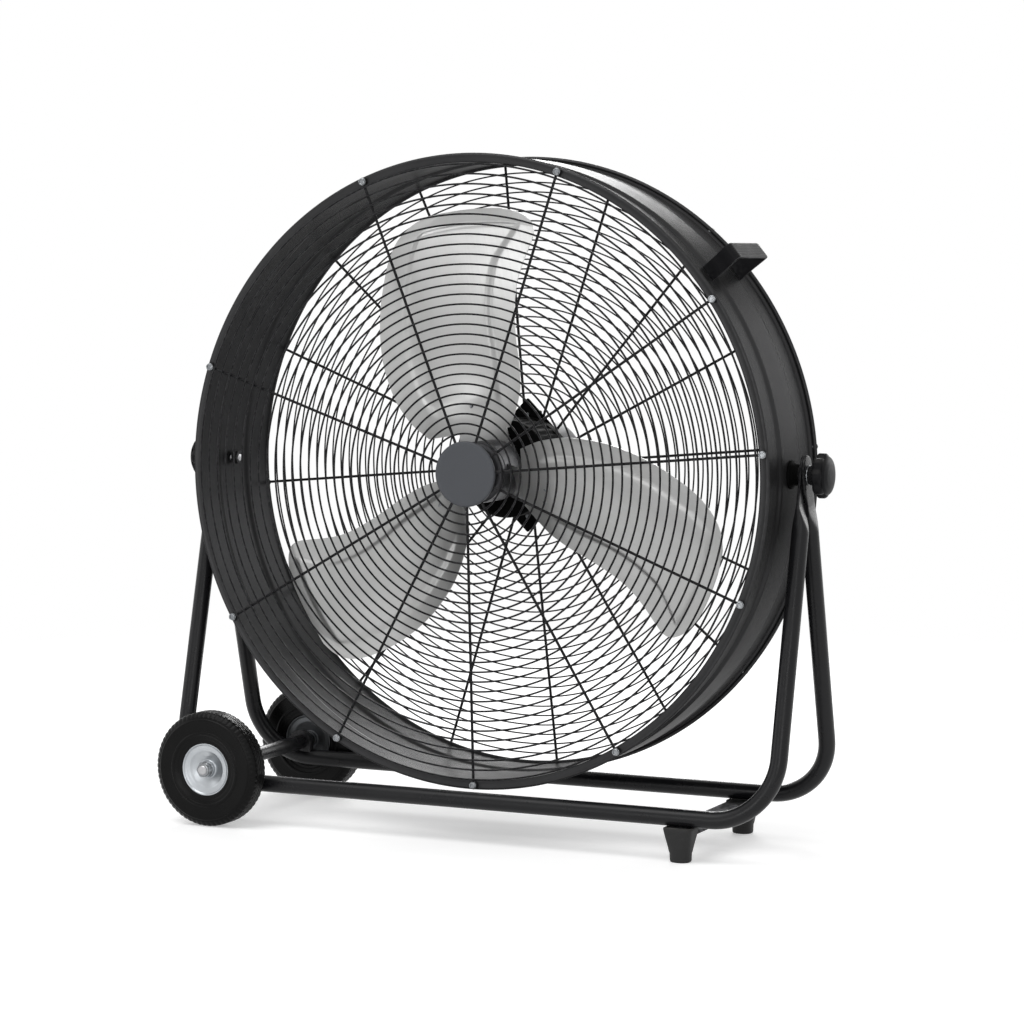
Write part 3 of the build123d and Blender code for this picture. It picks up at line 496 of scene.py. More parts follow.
GROUPS: dict[str, bpy.types.NodeTree] = {}
GROUP_INPUTS = {
    grain: {"Vector": "Vector", "Scale": "Float", "Mottle Scale": "Float"},
    edge_wear: {"Vector": "Vector", "Amount": "Float"},
    settled_dust: {"Vector": "Vector", "Amount": "Float"},
    turned_marks: {"Vector": "Vector", "Centre": "Vector"},
    brushed_marks: {"Vector": "Vector"},
}


def build_groups() -> None:
    """Builds the shared shader groups once, each with named inputs and outputs."""
    for maker, inputs in GROUP_INPUTS.items():
        tree = bpy.data.node_groups.new(maker.__name__, "ShaderNodeTree")
        for label, kind in inputs.items():
            tree.interface.new_socket(label, in_out="INPUT", socket_type=f"NodeSocket{kind}")
        start, end = (tree.nodes.new("NodeGroup" + side) for side in ("Input", "Output"))
        given = {label: start.outputs[label] for label in inputs}
        for label, socket in maker(Graph(tree), given).items():
            tree.interface.new_socket(label, in_out="OUTPUT", socket_type="NodeSocketFloat")
            tree.links.new(socket, end.inputs[label])
        GROUPS[maker.__name__] = tree


DUST_COLOUR = (0.42, 0.40, 0.37)
# Share of the colour that stays where painted shade darkens a finish.
PAINTED_SHADE_SHARE = 0.3


@dataclass(frozen=True)
class Finish:
    """One procedural finish, for one of the record's material slots.

    The last field holds two places along Y: from the first to the second the colour darkens into
    painted shade and the roughness rises.
    """

    slot: str
    colour: Colour
    tone: Colour
    worn: Colour = (0.30, 0.30, 0.31)
    metallic: float = 0.0
    roughness: float = 0.45
    spread: float = 0.08
    specular: float = 0.5
    edge_tint: float = 1.0
    grain: float = 900.0
    mottle: float = 14.0
    relief: float = 0.00006
    wear: float = 0.35
    dust: float = 0.10
    marks: Marks = Marks.NONE
    mark_tone: float = 0.25
    centre: tuple[float, float, float] = (0.0, 0.0, 0.0)
    dull: tuple[float, float] | None = None

    def material(self, name: str | None = None) -> bpy.types.Material:
        """The finish as a material, made once for each name.

        Args:
            name: the material's name; the slot's if none is given.
        Returns:
            The material.
        """
        label = "finish_" + (name or self.slot)
        if label in bpy.data.materials:
            return bpy.data.materials[label]
        material = bpy.data.materials.new(label)
        material.use_nodes = True
        tree = material.node_tree
        shader = tree.nodes["Principled BSDF"]
        graph = Graph(tree)
        place = graph.put("TexCoord").outputs["Object"]

        skin = graph.shared("grain", Vector=place, Scale=self.grain, Mottle_Scale=self.mottle)
        height, shade = skin.outputs["Height"], skin.outputs["Mottle"]
        mark = None
        if self.marks is Marks.TURNED:
            mark = graph.shared("turned_marks", Vector=place, Centre=self.centre).outputs[0]
        elif self.marks is Marks.BRUSHED:
            surface = graph.put("UVMap", {"uv_map": "flat"}).outputs[0]
            mark = graph.shared("brushed_marks", Vector=surface).outputs[0]
        colour = graph.mix(shade, self.colour, self.tone)
        rough = graph.spread(shade, 0.0, 1.0, self.roughness - self.spread,
                             self.roughness + self.spread)
        if mark is not None:
            dark = tuple(channel * (1 - self.mark_tone) for channel in self.colour)
            colour = graph.mix(graph.math("MULTIPLY", mark, 0.6), colour, dark)
            rough = graph.math("MULTIPLY_ADD", mark, self.spread, rough)
            height = graph.math("ADD", height, mark)
        worn = graph.shared("edge_wear", Vector=place, Amount=self.wear).outputs["Mask"]
        dusty = graph.shared("settled_dust", Vector=place, Amount=self.dust).outputs["Mask"]
        colour = graph.mix(worn, colour, self.worn)
        # Painted shade: between the two Y places the colour fades to a darker copy and the
        # roughness rises.
        if self.dull:
            across = graph.put("SeparateXYZ", Vector=place).outputs["Y"]
            inner = graph.spread(across, *self.dull)
            dull = tuple(PAINTED_SHADE_SHARE * channel for channel in self.colour)
            colour = graph.mix(inner, colour, dull)
            rough = graph.math("MULTIPLY_ADD", inner, 0.15, rough)
        colour = graph.mix(dusty, colour, DUST_COLOUR)
        rough = graph.math("MULTIPLY_ADD", dusty, 0.4, rough)
        bump = graph.put("Bump", Strength=1.0, Distance=self.relief, Height=height)
        shader.inputs["Metallic"].default_value = self.metallic
        shader.inputs["Specular IOR Level"].default_value = self.specular
        shader.inputs["Specular Tint"].default_value = (*[self.edge_tint] * 3, 1.0)
        for socket, value in (("Base Color", colour), ("Roughness", rough),
                              ("Normal", bump.outputs[0])):
            tree.links.new(value, shader.inputs[socket])
        return material


WHEEL_CENTRE = tuple(float(value) for value in middle("front_tyre") * MM)
AXIS_CENTRE = tuple(float(value) for value in AXIS * MM)

FRAME_PAINT = Finish("frame_paint", (0.007, 0.007, 0.008), (0.010, 0.010, 0.011),
                     roughness=0.29, specular=0.22, grain=700.0, dust=0.01)
DRUM_PAINT = Finish("drum_paint", (0.036, 0.036, 0.037), (0.044, 0.044, 0.045),
                    metallic=0.55, roughness=0.33, spread=0.04, specular=0.04, edge_tint=0.3,
                    grain=700.0, dust=0.04)
CROSSBAR_PAINT = replace(DRUM_PAINT, slot="frame_paint", metallic=0.92, roughness=0.42)
GUARD_PAINT = Finish("guard_paint", (0.008, 0.008, 0.009), (0.012, 0.012, 0.013),
                     roughness=0.40, specular=0.10, wear=0.15, dust=0.04)
BADGE_PAINT = Finish("guard_paint", (0.062, 0.066, 0.074), (0.070, 0.074, 0.083),
                     roughness=0.48, specular=0.25, wear=0.1, dust=0.03)
MOTOR_PAINT = Finish("motor_paint", (0.003, 0.003, 0.003), (0.005, 0.005, 0.005),
                     roughness=0.60, specular=0.02, wear=0.05, dust=0.01)
COVER_PAINT = Finish("motor_paint", (0.060, 0.062, 0.066), (0.075, 0.077, 0.080),
                     roughness=0.45, specular=0.2, wear=0.2)
FOOT_RUBBER = Finish("foot_rubber", (0.012, 0.012, 0.012), (0.020, 0.020, 0.020),
                     worn=(0.05, 0.05, 0.05), roughness=0.62, specular=0.3, grain=1400.0,
                     dust=0.2)
TYRE_RUBBER = Finish("tyre_rubber", (0.002, 0.002, 0.002), (0.004, 0.004, 0.004),
                     worn=(0.02, 0.02, 0.02), roughness=0.29, specular=0.11, grain=1200.0,
                     relief=0.00003, dust=0.02)
ZINC = Finish("zinc_steel", (0.28, 0.29, 0.30), (0.18, 0.19, 0.20), metallic=1.0,
              roughness=0.28, grain=500.0, relief=0.00003, worn=(0.6, 0.6, 0.61))
RIM_ZINC = Finish("zinc_steel", (0.46, 0.48, 0.50), (0.38, 0.40, 0.42), metallic=1.0,
                  roughness=0.28, spread=0.06, grain=420.0, mottle=30.0, relief=0.00004,
                  worn=(0.8, 0.8, 0.8), marks=Marks.TURNED, centre=WHEEL_CENTRE, mark_tone=0.15)
BARE_STEEL = Finish("bare_steel", (0.42, 0.42, 0.43), (0.34, 0.34, 0.35), metallic=1.0,
                    roughness=0.35, relief=0.00003, worn=(0.6, 0.6, 0.6))
NYLON = Finish("nylon", (0.62, 0.60, 0.54), (0.55, 0.53, 0.47), worn=(0.7, 0.7, 0.65),
               roughness=0.5, relief=0.00002)
BLACK_PLASTIC = Finish("black_plastic", (0.009, 0.009, 0.010), (0.014, 0.014, 0.015),
                       worn=(0.07, 0.07, 0.07), roughness=0.42, specular=0.06, grain=1600.0,
                       relief=0.00004)
CAN = Finish("can_aluminium", (0.66, 0.66, 0.67), (0.58, 0.58, 0.59), metallic=1.0,
             roughness=0.4, relief=0.00003)
BLADE_METAL = Finish("blade_aluminium", (0.53, 0.53, 0.525), (0.47, 0.47, 0.465), metallic=0.8,
                     roughness=0.31, spread=0.04, grain=500.0, mottle=9.0, relief=0.000004,
                     worn=(0.7, 0.7, 0.7), dust=0.04, marks=Marks.BRUSHED, mark_tone=0.12)
# A much darker copy of the arms' cast aluminium: the hub's colour carries painted shade.
SHADED_CAST_METAL = Finish("cast_aluminium", (0.10, 0.10, 0.105), (0.06, 0.06, 0.065), metallic=0.9,
                    roughness=0.36, grain=600.0, relief=0.00014, worn=(0.4, 0.4, 0.4),
                    dust=0.03, marks=Marks.TURNED, centre=AXIS_CENTRE, mark_tone=0.3)
ARM_METAL = Finish("cast_aluminium", (0.50, 0.50, 0.50), (0.42, 0.42, 0.42), metallic=1.0,
                   roughness=0.38, grain=600.0, relief=0.00006, worn=(0.6, 0.6, 0.6), dust=0.03)
SLOTS = {finish.slot: finish for finish in (
    FRAME_PAINT, DRUM_PAINT, GUARD_PAINT, MOTOR_PAINT, FOOT_RUBBER, TYRE_RUBBER, ZINC,
    BARE_STEEL, NYLON, BLACK_PLASTIC, CAN, BLADE_METAL, SHADED_CAST_METAL)}


def new_object(name: str, data: bpy.types.ID) -> bpy.types.Object:
    """An object made from its data and linked into the scene."""
    thing = bpy.data.objects.new(name, data)
    bpy.context.scene.collection.objects.link(thing)
    return thing


class Assembly:
    """A sub-assembly: its pieces ride one body and are built about one place."""

    body: Body = Body.DRUM
    place: Array = AXIS

    def add(self, name: str, surface: Surface, finish: Finish, node: str | None = None,
            body: Body | None = None, sharp: float = 32.0, bevel: float = 0.0,
            flat: Callable[[Array], Array] | None = None, look: str | None = None) -> None:
        """Makes one piece from a surface and attaches it to the empty of its body.

        Args:
            name: the piece's name.
            surface: its surface in millimetres about the assembly's place.
            finish: its finish.
            node: the CAD node that it stands for.
            body: the CAD body that it rides where it isn't the assembly's.
            sharp: edges sharper than this many degrees stay sharp.
            bevel: width in millimetres of a Bevel modifier, 0 for none.
            flat: gives the flat coordinates of points in millimetres, for brushed marks.
            look: the material's name where it isn't the slot's.
        """
        mesh = bpy.data.meshes.new(name)
        points = (surface.points + self.place) * MM
        mesh.from_pydata(points.tolist(), [], surface.quads.tolist() + surface.caps)
        work = bmesh.new()
        work.from_mesh(mesh)
        bmesh.ops.remove_doubles(work, verts=work.verts, dist=MERGE_DISTANCE)
        bmesh.ops.dissolve_degenerate(work, edges=work.edges, dist=MERGE_DISTANCE / 10)
        bmesh.ops.recalc_face_normals(work, faces=work.faces)
        work.to_mesh(mesh)
        work.free()
        mesh.validate()
        if flat:
            places = np.empty(len(mesh.vertices) * 3)
            mesh.vertices.foreach_get("co", places)
            corners = np.empty(len(mesh.loops), int)
            mesh.loops.foreach_get("vertex_index", corners)
            spots = flat(places.reshape(-1, 3) / MM) * MM
            layer = mesh.uv_layers.new(name="flat")
            layer.uv.foreach_set("vector", spots[corners].ravel())
        mesh.shade_smooth()
        mesh.set_sharp_from_angle(angle=math.radians(sharp))
        mesh.materials.append(finish.material(look))
        piece = new_object(name, mesh)
        if bevel:
            modifier = piece.modifiers.new("edges", "BEVEL")
            modifier.width, modifier.segments = bevel * MM, 2
            modifier.limit_method, modifier.angle_limit = "ANGLE", math.radians(40)
        rides = (body or self.body).value
        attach(piece, rides)
        if node:
            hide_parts(node)
        LOG.info("%s: %d faces on %s", name, len(mesh.polygons), rides)


# --- frame
@dataclass
class TubeFrame(Assembly):
    """Two tubes bent into wide leaning U shapes, crossbar, feet and axle."""

    body = Body.FRAME
    place = np.zeros(3)
    radius: float = 11.0
    bend: float = 82.0
    half_stance: float = 108.0
    run_height: float = 55.2
    leg_x: float = 424.0
    flat_x: tuple[float, float] = (421.9, 426.1)
    flat_half_width: float = 15.0
    flat_half_thickness: float = 2.0
    overrun: float = 10.0
    flat_length: float = 36.0
    blend: float = 40.0

    def tube(self, side: int, flat_x: float) -> Surface:
        """One tube: superellipse sections along leg, bend, run, bend and leg.

        The section goes from flat (2 x 15, power 6) to round (11 x 11, power 2).

        Args:
            side: -1 for the front tube, 1 for the rear one.
            flat_x: where its flattened ends lie.
        Returns:
            The closed tube.
        """
        drop = PIVOT[2] - self.run_height
        slope = math.hypot(self.half_stance, drop)
        tip = self.overrun + self.flat_half_width
        turn = np.linspace(0, math.pi / 2, 20)
        down = np.concatenate([
            -tip + 14.8 * (1 - np.cos(np.linspace(0.12, math.pi / 2, 9))),
            [0, 18], np.linspace(self.flat_length, self.flat_length + self.blend, 14),
            np.linspace(self.flat_length + self.blend + 20, slope - self.bend, 8)])
        share = smooth(self.flat_length, self.flat_length + self.blend, down)
        x = flat_x + (self.leg_x - flat_x) * share
        arc_x = self.leg_x - self.bend + self.bend * np.cos(turn[1:])
        arc_s = slope - self.bend + self.bend * np.sin(turn[1:])
        half_x, half_s = np.concatenate([x, arc_x]), np.concatenate([down, arc_s])
        share = np.concatenate([share, np.ones(len(turn) - 1)])
        width = self.flat_half_width + (self.radius - self.flat_half_width) * share
        beyond = np.clip(-half_s - self.overrun, 0, self.flat_half_width - 0.05)
        width = np.where(beyond > 0, np.sqrt(self.flat_half_width**2 - beyond**2), width)
        thick = self.flat_half_thickness + (self.radius - self.flat_half_thickness) * share
        power = 6 - 4 * share
        both = [np.concatenate([part, part[::-1]]) for part in (width, thick, power)]
        run_x = np.concatenate([half_x, -half_x[::-1]])
        run_s = np.concatenate([half_s, half_s[::-1]])
        outlines = np.stack([oval(t, w, n) for w, t, n in zip(*both)])
        lean_y, lean_z = side * self.half_stance / slope, -drop / slope
        path = np.stack([run_x, run_s * lean_y, PIVOT[2] + run_s * lean_z], -1)
        normal = np.cross([1.0, 0.0, 0.0], [0.0, lean_y, lean_z])
        tube = sweep(path, outlines, normal)
        limit = PIVOT[2] + self.flat_length * lean_z + self.flat_half_width * abs(lean_y)
        low = tube.points[:, 2] < limit
        clamped = side * np.maximum(side * tube.points[:, 1], 0.1)
        tube.points[:, 1] = np.where(low, clamped, tube.points[:, 1])
        return tube

    def foot(self, side: int) -> Surface:
        """One rubber foot: superellipses stacked up from the sole, with a pocket in its top.

        Above z = 32.8 each level is a U that is open towards the middle of the fan.

        Args:
            side: -1 for the front foot, 1 for the rear one.
        Returns:
            The foot.
        """
        table = np.array([
            (0, 11.8, 10.8, 2.3), (0.7, 13.0, 12.0, 2.3), (2.2, 13.5, 12.5, 2.3),
            (11.5, 13.8, 12.8, 2.4), (13.5, 14.5, 13.3, 2.6), (20, 15.6, 14.1, 3.0),
            (27, 16.9, 15.0, 3.8), (32.8, 18.0, 15.8, 4.6), (38, 18.9, 16.4, 5.2),
            (42.6, 19.7, 17.0, 5.6), (43.5, 19.4, 16.7, 5.6), (43.8, 18.8, 16.1, 5.6)])
        pocket = 7
        body = grid(np.stack([
            np.insert(oval(wide, deep, power, 56), 2, z, axis=1)
            for z, wide, deep, power in table[:pocket + 1]]))
        turn = np.radians(np.linspace(-47, 227, 45))
        slot = eased([(-15.3, -14), (-15.3, 11.3), (15.3, 11.3), (15.3, -14)], 1.2, 3, False)
        open_half = grid(np.stack([
            np.insert(np.vstack([oval(wide, deep, power, turn=turn), slot]), 2, z, axis=1)
            for z, wide, deep, power in table[pocket:]]))
        foot = body + open_half
        foot = foot if side > 0 else foot.mirrored(1)
        return foot.moved((middle("foot_crossbar")[0], side * self.half_stance, 0))

    def crossbar(self) -> Surface:
        """The channel under both runs: an open-bottomed outline carried along Y.

        Returns:
            The channel in its place.
        """
        outer = eased([(-15, 33), (-15, 44), (15, 44), (15, 33)], 2.4, 5, False)
        inner = eased([(13, 33), (13, 42), (-13, 42), (-13, 33)], 1.0, 3, False)
        channel = prism(np.vstack([outer, inner]), -119, 119)
        return channel.moved((middle("foot_crossbar")[0], 0, 0))

    def bracket(self, side: int) -> Surface:
        """A plate with a round head about the axle and a foot on the run.

        Args:
            side: -1 for the front, 1 for the rear.
        Returns:
            The bracket.
        """
        x, _, z = middle("axle_rod")
        turn = np.linspace(0, math.pi, 25)
        head = np.stack([x + 17 * np.cos(turn), z + 17 * np.sin(turn)], -1)
        outline = np.vstack([head, [(x - 17, 60), (x - 15, 57), (x + 15, 57), (x + 17, 60)]])
        return prism(outline, side * 100.5, side * 110.5)

    def build(self) -> None:
        """Builds the whole frame."""
        for name, side, flat_x in (("front", -1, self.flat_x[0]), ("rear", 1, self.flat_x[1])):
            self.add(f"{name}_tube", self.tube(side, flat_x), FRAME_PAINT, f"{name}_frame_tube")
            self.add(f"{name}_rubber_foot", self.foot(side), FOOT_RUBBER, f"{name}_foot",
                     sharp=38)
        self.add("crossbar", self.crossbar(), CROSSBAR_PAINT, "foot_crossbar",
                 look="crossbar_paint")
        rod = middle("axle_rod")
        spacer = ring(6.5, 10, -127.4, 127.4, edge=0.8).moved(rod)
        self.add("axle_spacer", spacer, FRAME_PAINT, "axle_tube")
        self.add("brackets", self.bracket(-1) + self.bracket(1), FRAME_PAINT, "axle_brackets",
                 bevel=0.8)
        self.add("axle", self.axle().moved(rod), BARE_STEEL, "axle_rod")
        washers = ring(6.5, 10.5, 152.2, 153.8).doubled(1).moved(rod)
        self.add("axle_end_washers", washers, ZINC, "axle_washers")
        self.add("axle_lock_nuts", self.lock_nut().doubled(1).moved(rod), ZINC, "axle_nuts")

    def axle(self) -> Surface:
        """The axle: a turned bar whose radius ripples as a thread at both ends.

        Returns:
            The axle about the origin.
        """
        thread = np.arange(151.0, 163.2, 0.4)
        radius = 6.1 + 0.25 * np.cos(thread * TAU / 1.6)
        half = [(6.35, 0), (6.35, 150)] + list(zip(radius, thread)) + [(5.2, 164), (0, 164)]
        line = [(r, -y) for r, y in half[:0:-1]] + half
        return lathe(line, 48, closed=False)

    def lock_nut(self) -> Surface:
        """The nut on the +Y end of the axle: a hexagon with a round collar."""
        collar = [(6.5, 159), (8.8, 159), (8.8, 160.8), (8.2, 161.7), (7.2, 162), (6.5, 162)]
        return hex_head(19, 154, 159.6, 6.5) + lathe(collar, 64)


@dataclass
class Wheel(Assembly):
    """A solid tyre with fine lugs on its shoulders, on a dished steel rim."""

    name: str
    outward: int
    body: Body = Body.FRONT_WHEEL
    lugs: int = 62

    def __post_init__(self) -> None:
        """Takes the wheel's place from the CAD tyre."""
        self.place = middle(f"{self.name}_tyre")

    def tyre(self) -> Surface:
        """The tyre: a turned section with fine grooves; its shoulders drop 0.7 between lugs.

        Returns:
            The tyre about its own middle.
        """
        half = eased([
            (35.0, 0), (35.0, 15.0), (36.6, 15.9), (39.8, 15.9), (41.4, 16.7), (45.6, 17.5),
            (46.6, 18.4), (49.2, 18.6), (50.4, 17.6), (64.4, 19.0), (66.6, 19.0), (67.6, 17.8),
            (70.2, 17.1), (73.2, 14.9), (75.5, 12.5), (76.2, 10.6), (76.2, 8.9), (75.5, 8.6),
            (75.5, 7.8), (76.2, 7.5), (76.2, 5.3), (75.5, 5.0), (75.5, 4.2), (76.2, 3.9),
            (76.2, 1.3), (75.5, 1.0), (75.5, 0)], 0.7, 2, False)
        mirror = (half * (1, -1))[::-1]
        line = np.vstack([half[:-1], mirror[:-1]])

        def blocks(radius: Array, angle: Array, along: Array) -> Array:
            """Args: radius, angle, along: see lathe. Returns: the new radius."""
            phase = self.lugs * angle / TAU + np.where(along > 0, 0.0, 0.5)
            gap = smooth(0.5, 0.75, np.abs(2 * np.mod(phase, 1) - 1))
            return radius - 0.7 * gap * smooth(69.0, 71.0, radius) * (np.abs(along) > 9.4)

        return lathe(line, self.lugs * 7, wave=blocks)

    def rim(self) -> Surface:
        """The rim: a turned steel dish with a rolled lip, a step and its hub.

        Returns:
            The rim about the wheel's middle.
        """
        face = eased([
            (8.3, 12.0), (10.3, 12.0), (10.7, 11.2), (10.7, 8.4), (12.2, 7.0), (22.3, 10.9),
            (25.3, 12.6), (27.5, 12.9), (31.8, 13.4), (33.1, 14.9), (34.2, 15.5),
            (34.9, 14.8), (34.9, 12.0)], 0.8, 4, False)
        line = np.vstack([face, (face * (1, -1))[::-1]])
        return lathe(line, 144)

    def build(self) -> None:
        """Builds the wheel, whose rim's colour carries painted shade on its inner side."""
        self.add(f"{self.name}_moulded_tyre", self.tyre(), TYRE_RUBBER, f"{self.name}_tyre",
                 sharp=28)
        # Painted shade on the rim's inner side, fading in from 2 to 6 mm inward of its middle
        # plane.
        plane = float(self.place[1] * MM)
        finish = replace(RIM_ZINC, dull=(plane - 0.002 * self.outward,
                                         plane - 0.006 * self.outward))
        self.add(f"{self.name}_dished_rim", self.rim(), finish, f"{self.name}_wheel_rim",
                 look=f"{self.name}_rim_zinc")
        self.add(f"{self.name}_bush", ring(6.4, 8.2, -12, 12), NYLON, f"{self.name}_wheel_bush")


# --- drum
@dataclass
class Drum(Assembly):
    """The rolled drum with its raised band and its rims."""

    radius: float = 402.0

    def profile(self) -> Array:
        """The wall's section: raised band, rolled beads and turned-in flanges.

        Returns:
            The closed (radius, y) line.
        """
        r = self.radius
        outer = eased([
            (r + 3, 0), (r + 3, 31.5), (r, 38.5), (r, 78.5), (r + 2.2, 82.6)], 3.0, 6, False)
        turn = np.linspace(-2.4, 1.75, 14)
        bead = np.stack([r + 4.1 + 2.9 * np.cos(turn), 87.55 + 2.9 * np.sin(turn)], -1)
        flange = eased([
            (r + 2.2, 89.6), (r - 3.6, 90.3), (r - 5, 89.9), (r - 5, 88.9), (r - 3.2, 88.6),
            (r - 1.7, 86.0)], 0.7, 3, False)
        inner = eased([
            (r - 1.6, 84.0), (r - 1.5, 38.9), (r + 1.5, 31.9), (r + 1.5, 0)], 3.0, 6, False)
        half = np.vstack([outer, bead, flange, inner])
        return np.vstack([half[:-1], (half * (1, -1))[:0:-1]])

    def build(self) -> None:
        """Builds the drum."""
        self.add("drum_wall", lathe(self.profile(), 320), DRUM_PAINT, "drum_shell", sharp=50)


@dataclass
class Pivots(Assembly):
    """Bosses, washers and weld nuts of the two tilt pivots."""

    place = PIVOT
    bore: float = 5.5

    def boss(self) -> Surface:
        """The spacer at the right pivot: a flange with a fillet up to a round boss."""
        return turned([
            (5.2, 403.9), (18, 403.9), (18, 407.2), (15.6, 408.6), (13.5, 410.5),
            (13.5, 417.4), (5.2, 417.4)], 1.0, 4, 80, "x")

    def build(self) -> None:
        """Builds bosses, washers and nuts."""
        for name, boss in (("right", self.boss()), ("left", self.boss().mirrored(0))):
            self.add(f"{name}_boss", boss, MOTOR_PAINT, f"{name}_pivot_boss")
        friction = ring(self.bore, 13.5, 417.7, 419.7, "x").doubled(0)
        self.add("friction_washers", friction, BLACK_PLASTIC, "pivot_washers")
        steel = ring(self.bore, 12.5, 428.3, 429.9, "x").doubled(0)
        self.add("knob_steel_washers", steel, ZINC, "knob_washers", Body.FRAME)
        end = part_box("pivot_nuts")[1][0] / MM
        nuts = hex_head(17, end - 8, end, self.bore, "x").doubled(0)
        self.add("weld_nuts", nuts, DRUM_PAINT, "pivot_nuts")


@dataclass
class WireGuard(Assembly):
    """A guard of round wire rings on straight spokes."""

    name: str
    side: int
    first: float
    rings: int
    angles: Sequence[float]
    inner: float
    dome: float
    screws: Sequence[float]
    wire: float
    pitch: float = 12.7
    spoke: float = 1.8
    screw_circle: float = 403.0
    spoke_y: float = 92.5

    def ring_y(self, radius: Array) -> Array:
        """How far the rings lie from the middle plane: a straight dish from edge to middle."""
        share = (radius - 42.2) / (self.screw_circle - 42.2)
        return self.spoke_y + self.dome * (1 - share) + 3.3

    def wires(self) -> Surface:
        """All the rings: ((R + r cos b) cos a, y + r sin b, (R + r cos b) sin a).

        Returns:
            The rings as one surface.
        """
        radii = self.first + self.pitch * np.arange(self.rings)
        turn = np.linspace(0, TAU, 8, endpoint=False) + math.pi / 8
        circle = np.stack([np.cos(turn), np.sin(turn)], -1) * self.wire
        lifts = self.ring_y(radii)
        return joined([
            lathe(circle + (radius, lift), 4 * int(18 + radius / 9))
            for radius, lift in zip(radii, lifts)])

    def spokes(self) -> Surface:
        """The spokes: round bars with a flattened eye about each screw.

        Returns:
            Spokes and eyes as one surface.
        """
        length = self.screw_circle - 4.0
        s = np.linspace(0, 1, 24)
        out = self.inner + (length - self.inner) * s
        path = np.stack([out, self.spoke_y + self.dome * (1 - s), np.zeros(24)], -1)
        bar = sweep(path, oval(self.spoke, self.spoke, 2, 12), (0, 0, 1))
        turn = np.linspace(0, TAU, 24, endpoint=False)
        eye_path = np.stack([self.screw_circle + 4.0 * np.cos(turn),
                             np.full(24, self.spoke_y), 4.0 * np.sin(turn)], -1)
        eye = sweep(eye_path, oval(1.4, 1.5, 2.6, 10), (0, 1, 0), loop=True)
        plain = joined([bar.turned(angle) for angle in self.angles])
        eyes = joined([eye.turned(angle) for angle in self.screws])
        return plain + eyes

    def screw(self) -> Surface:
        """The screw on the +X side: a hexagon on a thin round flange with a short shank.

        Returns:
            Flange, head and shank as one surface.
        """
        flange = turned([(0, 94.3), (4.8, 94.3), (4.8, 94.8), (3.4, 95.2), (0, 95.2)],
                        0.3, 2, 32, closed=False)
        shank = lathe([(0, 83.8), (2, 84.2), (2, 94.4), (0, 94.4)], 16, closed=False)
        return (flange + self.recessed_head() + shank).moved((self.screw_circle, 0, 0))

    def recessed_head(self) -> Surface:
        """The hexagon head: its face is dished and a small cross stands in the dish.

        Returns:
            The head about the Y axis.
        """
        wave = hexagon_wave(8, 95.0, 97.3)
        profile = [(0, 95.0), (3.2, 95.0), (4.7, 95.1), (4.7, 95.5), (4.7, 96.4), (4.7, 97.0),
                   (4.7, 97.3), (3.0, 97.3), (2.7, 97.1), (2.4, 96.1), (0, 96.0)]

        def crossed(radius: Array, angle: Array, along: Array) -> Array:
            """Args: radius, angle, along: see lathe. Returns: the new radius."""
            arm = comb(angle, 4) > 0.36
            dish = (radius > 2.3) & (radius < 2.8) & (along > 96.0)
            return wave(np.where(arm & dish, radius + 0.5, radius), angle, along)

        return lathe(profile, 72, closed=False, wave=crossed)

    def build(self) -> None:
        """Builds wires, spokes and screws towards +Y and mirrors them for the front guard."""
        screws = joined([self.screw().turned(angle) for angle in self.screws])
        for piece, surface, finish, node, sharp in (
                ("wires", self.wires(), GUARD_PAINT, f"{self.name}_guard", 60),
                ("spokes", self.spokes(), GUARD_PAINT, None, 60),
                ("screws", screws, ZINC, f"{self.name}_guard_screws", 32)):
            surface = surface if self.side > 0 else surface.mirrored(1)
            self.add(f"{self.name}_{piece}", surface, finish, node, sharp=sharp)


@dataclass
class Badge(Assembly):
    """The plain disc over the middle of the front guard."""

    radius: float = 42.2
    back: float = -99.5
    front: float = -104.4

    def build(self) -> None:
        """Builds the disc: turned, slightly domed, with a rolled edge."""
        r = self.radius
        dome = [(r * share, self.front + 0.5 * share**2) for share in np.linspace(0, 0.93, 10)]
        edge = eased([(r * 0.93, self.front + 0.5), (r - 1.2, self.front + 0.8),
                      (r, self.front + 2.2), (r, self.back), (r - 1, self.back)], 1.2, 4, False)
        line = np.vstack([dome, edge, [(0, self.back)]])
        self.add("badge_disc", lathe(line, 128, closed=False), BADGE_PAINT, "guard_badge",
                 look="badge_paint")


